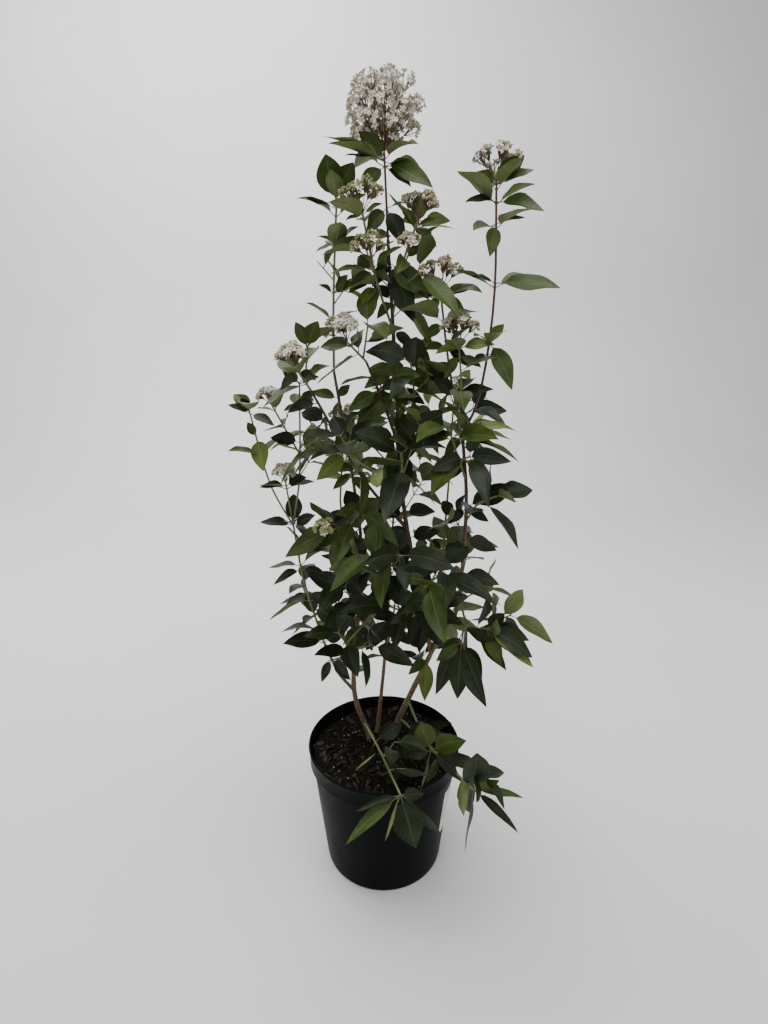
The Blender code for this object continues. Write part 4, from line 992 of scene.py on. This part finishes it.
def fineTwigs(line, turn, rng, low, high, density, leafScale):
    make = fineMake
    number = int(density * lengthOf(line) / make["gap"])
    for k in range(number):
        draw = rng.uniform(0, 1, 6)
        point, axis = placeOn(line, make["first"] + make["span"] * (k + draw[0]) / number)
        around = turn + k * goldenAngle + draw[1]
        heading = leaning(axis, math.radians(between(make["lean"], draw[2])), around)
        heading = unit(heading + make["lift"] * upward)
        reach = between(make["reach"], draw[3])
        tip = point + reach * heading
        if not inReach(tip, low, high):
            continue
        tone = toneOf(point[2], 2 * draw[4] - 1)
        kept = 0
        for pair in range(make["pairs"]):
            base = point + reach * (make["firstPair"] + make["pairGap"] * pair) * heading
            for side in (0, 1):
                shape = rng.uniform(-1, 1, 5)
                size = between(make["leaf"], 0.5 + 0.5 * shape[0]) * leafScale
                azimuth = around + make["pairTurn"] * pair + math.pi * side + make["turnDraw"] * shape[1]
                rise = math.radians(make["rise"] + make["riseDraw"] * shape[2])
                droop, roll = make["droop"] + make["droopDraw"] * shape[3], make["rollDraw"] * shape[4]
                leaf = leafOf(base, heading, azimuth, rise, size, droop, roll, make["width"])
                if inReach(base + size * (leaf[1] - droop * upward), low, high):
                    keepLeaf(leaf, tone)
                    kept += 1
        if kept:
            twigPaths.append(evenPath(np.array([point, point + 0.5 * reach * heading, tip])))
            twigRadii.append(np.linspace(*make["radius"], pathPoints))


# How thickly fine twigs stand: thinner in the crown's middle, where the boughs bear their own, and none on
# the two red shoots or at the very top.
twigDensity = {"crown": 0.16, "crownFrom": 18.0, "crownTo": 62.0, "outside": 0.28, "top": 80.0,
               "redLimb": 0.34, "paleLimb": 0.24}
redMasses = ("crown_head", "right_tall_foliage")


def densityOf(name, height):
    if name in redMasses or height >= twigDensity["top"]:
        return 0.0
    inCrown = twigDensity["crownFrom"] < height < twigDensity["crownTo"]
    return twigDensity["crown" if inCrown else "outside"]


carrierLines = dict(limbLines)
for index, (name, shoots) in enumerate(masses.items()):
    low, high = (np.array(corner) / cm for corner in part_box(name))
    low = np.maximum(low - fineMake["margin"], cadLow + fineMake["inset"])
    high = np.minimum(high + fineMake["margin"], cadHigh - fineMake["inset"])
    rng = np.random.default_rng([seedBase, 500 + index])
    lines, grown = {}, []
    for shoot in shoots:
        line = growShoot(shoot, lines)
        lines[shoot["name"]] = line
        carrierLines[name + " " + shoot["name"]] = line
        seed = [seedBase, index, len(grown)]
        if "head" in shoot:
            axis = unit(placeOn(line, 1.0)[1] + upward)
            ends, ball = rayEnds(line[-1], axis, *shoot["head"], shoot["rays"], seed)
            heads.append(dict(mass=name, hub=line[-1], axis=axis, radius=shoot["head"][0], ends=ends,
                              ball=ball))
        grown.append((shoot, line, seed))
    for parent, line, seed in list(grown):
        for twig in sideTwigs(parent, line, seed):
            twigLine = growShoot(twig, {twig["on"]: line})
            if onSolid(name, twigLine[-1]):
                grown.append((twig, twigLine, [seedBase, index, len(grown)]))
    paths, radii = (redPaths, redRadii) if name in redMasses else (twigPaths, twigRadii)
    shootCount += len(grown)
    for shoot, line, seed in grown:
        radius, path = twigRadius, line
        if shoot["on"] in limbs:                         # the foot is carried into the limb's bark
            radius = shootRadius
            path = np.vstack([placeOn(limbLines[shoot["on"]], min(shoot["at"], lastShare))[0], line])
        paths.append(evenPath(path))
        radii.append(shootShrink * np.linspace(radius[0], radius[1], pathPoints))
        tone = toneOf(line[-1][2], rng.uniform(-1, 1))
        for base, axis, azimuth, rise, length, droop, roll in leafPlaces(shoot, line, seed):
            for size in leafSizes:
                leaf = leafOf(base, axis, azimuth, rise, size * length, droop, roll, pairMake["width"])
                if onSolid(name, base + size * length * (leaf[1] - droop * upward)):
                    keepLeaf(leaf, tone)
                    break
        density = densityOf(name, line[:, 2].mean())
        fineTwigs(line, math.radians(shoot["turn"]), rng, low, high, density, 1.0)
print(shootCount, "shoots,", sum(len(v) for v in toneLeaves.values()), "leaves")

# Leafy twigs on the boughs themselves, inside the crown: insets from the solids' box, and two heights.
limbTwigMake = {"left": 5.0, "front": 4.0, "right": 4.0, "back": 4.0, "from": 19.0, "to": 74.0, "turn": 0.7,
                "leafScale": 1.1}
limbRng = np.random.default_rng([seedBase, 900])
low = np.array([cadLow[0] + limbTwigMake["left"], cadLow[1] + limbTwigMake["front"], limbTwigMake["from"]])
high = np.array([cadHigh[0] - limbTwigMake["right"], cadHigh[1] - limbTwigMake["back"], limbTwigMake["to"]])
for name, line in limbLines.items():
    density = twigDensity["redLimb" if name in redLimbs else "paleLimb"]
    fineTwigs(line, limbTwigMake["turn"], limbRng, low, high, density, limbTwigMake["leafScale"])

# Seen leaves: the direction at the foot is the one that, sagging, ends where the photo shows the tip. They
# lean a little forwards, and each is set at the last point of its carrier that has the joint's height.
seenMake = {"sag": 0.20, "forward": 0.38, "steps": 200}
for carrier, height, leaves in seenJoints:
    fine = evenPath(carrierLines[carrier], seenMake["steps"])
    base = fine[len(fine) - 1 - np.argmin(np.abs(fine[::-1, 2] - height))]
    for angle, length, width, facing, tone in leaves:
        angle, facing, sag = math.radians(angle), math.radians(facing), seenMake["sag"]
        across = length * unit(np.array([math.cos(angle), -seenMake["forward"], math.sin(angle)]))
        square = length**2
        inverse = (-sag * across[2] + math.sqrt((sag * across[2]) ** 2 + square * (1 - sag**2))) / square
        along = across * inverse + sag * upward
        side = unit(np.cross(along, (0.0, -math.sin(facing), math.cos(facing))))
        keepLeaf((base, along, side, np.cross(side, along), 1 / inverse, sag, width), tone)

print("leaves")
leafRng = np.random.default_rng([seedBase, 901])
# One piece for each tone: the leaf green made darker or paler as painted shade and light.
for tone, leaves in toneLeaves.items():
    heap = Heap()
    addLeaves(heap, leaves, leafRng)
    foliagePiece(heap, tone + "Leaves", masses, leafTop[tone], leafUnder)

print("twigs and stalks")
twigSides = {"green": 6, "red": 8}
heap = Heap()
addTubes(heap, np.array(twigPaths), np.array(twigRadii)[..., None], twigSides["green"])
foliagePiece(heap, "greenTwigs", masses, finishes["greenTwig"])
heap = Heap()
addTubes(heap, np.array(redPaths), np.array(redRadii)[..., None], twigSides["red"])
foliagePiece(heap, "redTwigs", redMasses, finishes["redTwig"])
heap = Heap()
addTubes(heap, np.array(stalks), np.linspace(*stalkMake["radius"], stalkMake["points"])[:, None],
         stalkMake["sides"])
foliagePiece(heap, "leafStalks", masses, finishes["leafStalk"])

# Flower heads: a crown in full flower, and domes still mostly in bud. At each ray's end a cluster of stalks
# parts in a golden spiral over a cap, and each ends in a flower or a bud. Sizes go with the swell, a share
# of the head's radius.
print("flowers")
headMake = {
    "crown": {"flowers": 9, "swell": 0.185, "part": 2.4, "cap": 1.25, "wide": 1.75, "press": 0.62,
              "open": 0.86, "bud": 1.25},
    "dome": {"flowers": 17, "swell": 0.26, "part": 2.2, "cap": 1.0, "wide": 1.45, "press": 0.72,
             "open": 1.0, "bud": 1.0},
}
clusterMake = {"flower": 0.38, "bud": 0.16, "eye": 0.19, "sizeDraw": 0.2, "wideDraw": 0.16, "sink": 0.55,
               "facing": 0.7, "facingDraw": 0.2, "bow": 0.06, "into": 0.1, "rayBow": 0.04, "eyeSink": 0.02,
               "rayRadius": (0.050, 0.040), "raySides": 5, "stalkRadius": (0.035, 0.028, 0.024),
               "stalkSides": 4}
innerMake = {"rays": 20, "shrink": 0.93, "sink": 0.15, "radius": 0.68}
openHeads = {"crown_head": 1.0, "left_centre_foliage": 0.55, "left_diagonal_foliage": 0.3,
             "right_tall_foliage": 0.35, "left_shoot_foliage": 0.3}
otherOpen = 0.06
greenHeads = ("left_middle_foliage", "upper_left_foliage")
flowerRng = np.random.default_rng([seedBase, 902])
petals, buds, greenBuds, rayTubes, stalkTubes = [], [], [], [], []
for head in heads:
    make = headMake["crown" if head["ball"] else "dome"]
    hub, ends, radius, number = head["hub"], head["ends"], head["radius"], make["flowers"]
    if head["ball"]:                                     # rays inside the ball fill its heart
        heart = ends.mean(axis=0)
        k = np.arange(innerMake["rays"])
        way = leaning(head["axis"], np.arccos(1 - 2 * (k + 0.5) / len(k)), k * goldenAngle)
        within = heart - innerMake["sink"] * radius * head["axis"] + innerMake["radius"] * radius * way
        ends = np.vstack([heart + innerMake["shrink"] * (ends - heart), within])
    swell = make["swell"] * radius
    openShare = openHeads.get(head["mass"], otherOpen) * make["open"]
    for end in ends:
        span = np.linalg.norm(end - hub)
        rayAxis = (end - hub) / span
        split = hub + rayAxis * (span - make["part"] * swell)
        middle = 0.5 * (hub + split) + clusterMake["rayBow"] * head["axis"]
        rayTubes.append(np.array([hub, middle, split]))
        k = np.arange(number)
        draw = flowerRng.uniform(-1, 1, (number, 4))
        way = leaning(rayAxis, np.arccos(1 - make["cap"] * (k + 0.5) / number), k * goldenAngle + draw[:, 0])
        wide = make["wide"] * swell * (1 + clusterMake["wideDraw"] * draw[:, 1:2])
        centres = end - clusterMake["sink"] * swell * rayAxis + wide * way * make["press"]
        facing = unit(way + clusterMake["facing"] * rayAxis + clusterMake["facingDraw"] * draw[:, 1:4])
        isOpen = flowerRng.uniform(0, 1, number) < openShare
        for centre, face, opened, spread in zip(centres, facing, isOpen, draw[:, 2]):
            middle = 0.5 * (split + centre) + clusterMake["bow"] * face
            stalkTubes.append(np.array([split, middle, centre - clusterMake["into"] * face]))
            size = 1 + clusterMake["sizeDraw"] * spread
            if opened:
                petals.append((centre, face, clusterMake["flower"] * size))
            elif head["mass"] in greenHeads:
                greenBuds.append((centre, face, clusterMake["bud"] * size))
            else:
                buds.append((centre, face, make["bud"] * clusterMake["bud"] * size))
headMasses = sorted({head["mass"] for head in heads})


# Copies of one model at the heads' places, each turned at random about its own axis.
def headPiece(name, model, rows, finish):
    heap = Heap()
    centres, axes, sizes = (np.array([row[k] for row in rows]) for k in range(3))
    addCopies(heap, model, centres, axes, sizes, flowerRng.uniform(0, fullTurn, len(rows)))
    foliagePiece(heap, name, headMasses, finishes[finish], sharp=70)


budModel = roundModel([(0, -1.2), (0.55, -0.8), (0.95, 0.0), (0.7, 0.75), (0, 1.15)], 7)
eyes = [(centre - clusterMake["eyeSink"] * face, face, clusterMake["eye"] * size)
        for centre, face, size in petals]
headPiece("openFlowers", flowerModel(), petals, "petals")
headPiece("flowerBuds", budModel, buds, "buds")
headPiece("greenFlowerBuds", budModel, greenBuds, "greenBuds")
headPiece("flowerEyes", budModel, eyes, "greenBuds")
heap = Heap()
rays = np.array([evenPath(line, 5) for line in rayTubes])
addTubes(heap, rays, np.linspace(*clusterMake["rayRadius"], 5)[:, None], clusterMake["raySides"])
addTubes(heap, np.array(stalkTubes), np.array(clusterMake["stalkRadius"])[:, None], clusterMake["stalkSides"])
foliagePiece(heap, "flowerStalks", headMasses, finishes["flowerStalks"])

# Pot: a profile of radius and height turned about the upright axis, notched at the foot.
print("pot")
potMake = {"height": 14.5, "topRadius": 8.9, "baseRadius": 6.9, "shoulder": 12.4, "step": 0.4, "wall": 0.17,
           "floor": 0.25, "sides": 144, "notches": 4, "notchWidth": 1.0, "notchHeight": 0.35, "footRing": 0.9}


# The wall's outer radius grows evenly with height from the base to the shoulder.
def wallRadius(height):
    slope = (potMake["topRadius"] - potMake["step"] - potMake["baseRadius"]) / potMake["shoulder"]
    return potMake["baseRadius"] + slope * height


# A turned body: the profile's inner points are carried round the upright axis, its two ends are poles.
def addTurned(heap, profile, sides, lift):
    turn = np.arange(sides) * (2 * math.pi / sides)
    profile = np.array(profile)
    radius, height = profile[1:-1, :1], profile[1:-1, 1:]
    rings = lift(np.stack([radius * np.cos(turn), radius * np.sin(turn), height + 0 * turn], -1), turn)
    points = np.vstack([rings.reshape(-1, 3), [[0, 0, profile[0, 1]], [0, 0, profile[-1, 1]]]])
    heap.add(points, gridQuads(len(radius), sides), poleFans(len(radius), sides))


# Notches: the foot ring's points are raised where they are near the middle of a quarter turn.
def notchFoot(rings, turn):
    gap = 2 * math.pi / potMake["notches"]
    away = np.abs((turn / gap) % 1.0 - 0.5) * gap * potMake["baseRadius"]
    outside = np.hypot(rings[..., 0], rings[..., 1]) > potMake["baseRadius"] - potMake["footRing"]
    notch = (rings[..., 2] < 0.06) & outside & (away < 0.5 * potMake["notchWidth"])
    rings[..., 2] = np.where(notch, potMake["notchHeight"], rings[..., 2])
    return rings


top, height, shoulder = potMake["topRadius"], potMake["height"], potMake["shoulder"]
base, wall, floorTop = potMake["baseRadius"], potMake["wall"], potMake["floor"]
potProfile = [(0, 0.02), (base - 1.2, 0.02), (base - 0.75, 0.0), (base - 0.15, 0.0), (base - 0.02, 0.09)]
potProfile += [(wallRadius(z), z) for z in np.linspace(0.4, shoulder - 0.14, 12)]
potProfile += [(wallRadius(shoulder), shoulder - 0.06), (top - 0.16, shoulder + 0.02),
               (top - 0.08, shoulder + 0.10), (top - 0.03, height - 0.45), (top + 0.05, height - 0.30),
               (top + 0.08, height - 0.18), (top + 0.06, height - 0.06), (top, height),
               (top - 0.09, height - 0.01), (top - 0.17, height - 0.12), (top - 0.32, shoulder + 0.3),
               (wallRadius(shoulder) - wall, shoulder), (wallRadius(floorTop) - wall, floorTop),
               (0, floorTop)]
heap = Heap()
addTurned(heap, potProfile, potMake["sides"], notchFoot)


# Black moulded plastic: a soft noise is dust, thicker towards the foot; a fine noise and a sine of height,
# the rings from turning, are its relief.
potLook = {"black": (0.0030, 0.0036, 0.0038), "dusty": (0.016, 0.015, 0.014), "dust": 38.0,
           "dustEdge": (0.46, 0.78), "dustShade": 0.08, "lowShade": 0.3, "lowHeight": 0.05, "rough": 0.40,
           "dustRough": 0.14, "grain": 1400.0, "grainHeight": 0.5, "rings": 2600.0, "ringHeight": 0.12,
           "relief": 0.12}


def potMaterial():
    look, nodes = potLook, Nodes("potPlastic", **{"Specular IOR Level": 0.04})
    where = nodes.object()
    height = nodes.axes(where)[2]
    dust = nodes.noise(look["dust"], 6.0, 0.65, where).smooth(*look["dustEdge"])
    fine = nodes.noise(look["grain"], 2.0, 0.5, where)
    low = 1.0 - height.smooth(0.0, look["lowHeight"])
    colour = nodes.mix(dust * (low * look["lowShade"] + look["dustShade"]), look["black"], look["dusty"])
    rings = (height * look["rings"]).math("SINE")
    relief = fine * look["grainHeight"] + rings * look["ringHeight"]
    return nodes.finish(colour, dust * look["dustRough"] + look["rough"], relief, look["relief"])


piece = heap.piece("potShell", potMaterial(), sharp=35)
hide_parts("pot")

# Blank paper label: a curved patch on the wall, a hair proud of it.
labelMake = {"from": -33.0, "to": -12.0, "low": 5.0, "high": 10.8, "face": 0.05, "thick": 0.04, "rows": 8,
             "columns": 12}
rows, columns = labelMake["rows"], labelMake["columns"]
turn = np.radians(np.linspace(labelMake["from"], labelMake["to"], columns))[None]
rise = np.linspace(labelMake["low"], labelMake["high"], rows)[:, None] + 0 * turn
outer = wallRadius(rise) + labelMake["face"]
inner = outer - labelMake["thick"]
faces = [np.stack([r * np.cos(turn), r * np.sin(turn), rise], -1).reshape(-1, 3) for r in (outer, inner)]
grid = gridQuads(rows, columns, round=False)
count = rows * columns
loop = np.concatenate([np.arange(columns), np.arange(2 * columns - 1, count, columns),
                       np.arange(count - 2, count - columns - 1, -1),
                       np.arange(count - 2 * columns, 0, -columns)])
edge = np.stack([loop, loop + count, np.roll(loop, -1) + count, np.roll(loop, -1)], 1)
heap = Heap()
heap.add(np.concatenate(faces), np.concatenate([grid, grid[:, ::-1] + count, edge]))
labelPaper = mottled("labelPaper", (0.62, 0.62, 0.60), (0.74, 0.74, 0.72), 60.0, 0.55, 0.1)
piece = heap.piece("blankLabel", labelPaper)

# Soil: a disc whose height is a sum of sines of place, strewn with crumbs, bark chips and pale grit.
print("soil")
soilMake = {"radius": 8.52, "rings": 46, "sides": 120, "hump": 0.10, "sink": 0.05, "foot": 9.0,
            "gap": 0.3, "edge": 0.35}
soilRng = np.random.default_rng([seedBase, 903])


# The soil's height: a level less a little, with three crossing sines of the place.
def soilHeight(x, y):
    waves = 0.5 * np.sin(1.3 * x + 0.7) * np.cos(1.1 * y) + 0.3 * np.sin(2.9 * x - 1.7 * y)
    waves = waves + 0.2 * np.sin(4.7 * y + 2 * x)
    return soilTop - soilMake["sink"] + soilMake["hump"] * waves


# Only the rings of the top follow the soil's height.
def soilLift(rings, turn):
    x, y, z = rings[..., 0], rings[..., 1], rings[..., 2]
    rings[..., 2] = np.where(z > soilTop - 0.5, soilHeight(x, y), z)
    return rings


reach = soilMake["radius"] - 0.1
soilProfile = [(wallRadius(z) - soilMake["gap"], z) for z in (soilMake["foot"], 12.0)]
soilProfile = [(0, soilMake["foot"]), *soilProfile, (reach, soilTop - 0.6)]
soilProfile += [(r, soilTop) for r in np.linspace(reach, 0.18, soilMake["rings"])]
soilProfile += [(0, soilTop - soilMake["sink"])]
heap = Heap()
addTurned(heap, soilProfile, soilMake["sides"], soilLift)
compost = mottled("compost", (0.0042, 0.0030, 0.0020), (0.015, 0.010, 0.006), 300.0, 0.85, 1.0,
                  **{"Specular IOR Level": 0.12})
piece = heap.piece("compostBed", compost, sharp=180)
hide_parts("potting_soil")


# Strewn bits: number, least and greatest size, how flat they lie, how far their middle is above the soil.
strewMake = {
    "compostCrumbs": {"number": 3600, "sizes": (0.035, 0.17), "flat": 0.3, "lift": 0.0},
    "barkChips": {"number": 300, "sizes": (0.18, 0.85), "flat": 1.6, "lift": 0.06},
    "paleGrit": {"number": 110, "sizes": (0.03, 0.085), "flat": 0.3, "lift": 0.06},
}
axisSpread, sizeCurve = (1, 1, 0.6), 2.2


# Copies of a model over the soil: places even over the disc (radius as the root of an even draw), each
# turned at random, and most of them small, as size follows a power of an even draw.
def bits(name, model, material):
    make, number = strewMake[name], strewMake[name]["number"]
    radius = (soilMake["radius"] - soilMake["edge"]) * np.sqrt(soilRng.uniform(0, 1, number))
    turn = soilRng.uniform(0, 2 * math.pi, number)
    x, y = radius * np.cos(turn), radius * np.sin(turn)
    centres = np.stack([x, y, soilHeight(x, y) + make["lift"]], 1)
    axes = unit(soilRng.normal(0, 1, (number, 3)) * axisSpread + make["flat"] * upward)
    scales = between(make["sizes"], soilRng.uniform(0, 1, number) ** sizeCurve)
    heap = Heap()
    addCopies(heap, model, centres, axes, scales, soilRng.uniform(0, fullTurn, number))
    piece = heap.piece(name, material, sharp=40)
    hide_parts("potting_soil")


crumbModel = roundModel([(0, -0.8), (0.8, -0.4), (1.0, 0.2), (0, 0.9)], 5)
chipPoints = np.array([[-1, -0.34, -0.07], [0.9, -0.42, -0.06], [1.0, 0.30, -0.05], [-0.85, 0.40, -0.06],
                       [-0.9, -0.30, 0.08], [0.8, -0.36, 0.11], [0.95, 0.22, 0.07], [-0.8, 0.36, 0.10]])
chipQuads = np.array([[3, 2, 1, 0], [4, 5, 6, 7], [0, 1, 5, 4], [1, 2, 6, 5], [2, 3, 7, 6], [3, 0, 4, 7]])
chipModel = (chipPoints, np.concatenate([chipQuads[:, [0, 1, 2]], chipQuads[:, [0, 2, 3]]]))
chipBark = mottled("chipBark", (0.012, 0.008, 0.006), (0.062, 0.042, 0.032), 120.0, 0.8, 0.6,
                   **{"Specular IOR Level": 0.2})
grit = mottled("grit", (0.45, 0.43, 0.40), (0.68, 0.66, 0.62), 300.0, 0.7)
bits("compostCrumbs", crumbModel, compost)
bits("barkChips", chipModel, chipBark)
bits("paleGrit", crumbModel, grit)

# Floor and backdrop: one sweep, level in front and curving up behind, a hair below the pot. In metres.
print("stage, lights and camera")
stageMake = {"width": 7.0, "front": -2.4, "back": 1.55, "curve": 0.9, "height": 3.4, "below": 0.0006}
bend, bendEnd = np.linspace(0.1, math.pi / 2, 12), stageMake["back"] + stageMake["curve"]
y = np.concatenate([np.linspace(stageMake["front"], stageMake["back"], 12),
                    stageMake["back"] + stageMake["curve"] * np.sin(bend), np.full(4, bendEnd)])
z = np.concatenate([np.zeros(12), stageMake["curve"] * (1 - np.cos(bend)),
                    np.linspace(stageMake["curve"] + 0.3, stageMake["height"], 4)])
x = np.linspace(-0.5, 0.5, 9) * stageMake["width"]
sweep = np.stack(np.broadcast_arrays(x[None], y[:, None], z[:, None] - stageMake["below"]), -1)
mesh = bpy.data.meshes.new("studioSweep")
mesh.from_pydata(sweep.reshape(-1, 3).tolist(), [], gridQuads(len(y), len(x), round=False).tolist())
mesh.shade_smooth()
floor = bpy.data.objects.new("studioSweep", mesh)
bpy.context.scene.collection.objects.link(floor)
mesh.materials.append(mottled("studioPaper", (0.70, 0.70, 0.69), (0.74, 0.74, 0.73), 1.2, 0.75, 0.0))

lightMake = {
    "above": {"place": (0.1, -0.35, 2.5), "aim": (0.0, 0.1, 0.3), "size": 1.7, "power": 46.0},
    "front": {"place": (-0.8, -2.2, 1.5), "aim": (0.0, 0.0, 0.5), "size": 1.6, "power": 17.0},
    "right": {"place": (1.9, -0.5, 1.5), "aim": (0.0, 0.0, 0.5), "size": 1.2, "power": 10.0},
    "backdrop": {"place": (-0.9, 0.9, 2.3), "aim": (-0.7, 2.4, 0.9), "size": 2.0, "power": 76.0},
}


# The turn that points a lamp from its place at its aim: pitch from the slope, heading from the plan.
def aimedAt(place, aim):
    ahead = np.array(aim) - np.array(place)
    flat = math.hypot(ahead[0], ahead[1])
    return (math.pi / 2 + math.atan2(ahead[2], flat), 0.0, math.atan2(-ahead[0], ahead[1]))


for name, make in lightMake.items():
    light = bpy.data.lights.new(name, "AREA")
    light.shape = "SQUARE"
    light.size = make["size"]
    light.energy = make["power"]
    lamp = bpy.data.objects.new(name, light)
    lamp.location = make["place"]
    lamp.rotation_euler = aimedAt(make["place"], make["aim"])
    bpy.context.scene.collection.objects.link(lamp)

roomColour, roomStrength = (0.80, 0.82, 0.84, 1.0), 0.42
world = bpy.data.worlds.new("softRoom")
world.use_nodes = True
room = world.node_tree.nodes["Background"]
room.inputs["Color"].default_value = roomColour
room.inputs["Strength"].default_value = roomStrength
bpy.context.scene.world = world

# Camera: the photo's, with its focal length and centre in the picture's pixels.
cameraMake = {"place": (-0.0016, -0.619, 0.600), "pitch": 11.78, "focalPixels": 580.8,
              "centre": (382.5, 473.5), "image": (768, 1024), "sensor": 36.0}
wide, tall = cameraMake["image"]
view = bpy.data.cameras.new("photoCamera")
view.sensor_width = cameraMake["sensor"]
view.lens = cameraMake["focalPixels"] * cameraMake["sensor"] / tall
view.shift_x = (wide / 2 - cameraMake["centre"][0]) / tall
view.shift_y = (cameraMake["centre"][1] - tall / 2) / tall
view.clip_start = 0.01
camera = bpy.data.objects.new("photoCamera", view)
camera.location = cameraMake["place"]
camera.rotation_euler = (math.radians(90 - cameraMake["pitch"]), 0.0, 0.0)
bpy.context.scene.collection.objects.link(camera)
bpy.context.scene.camera = camera
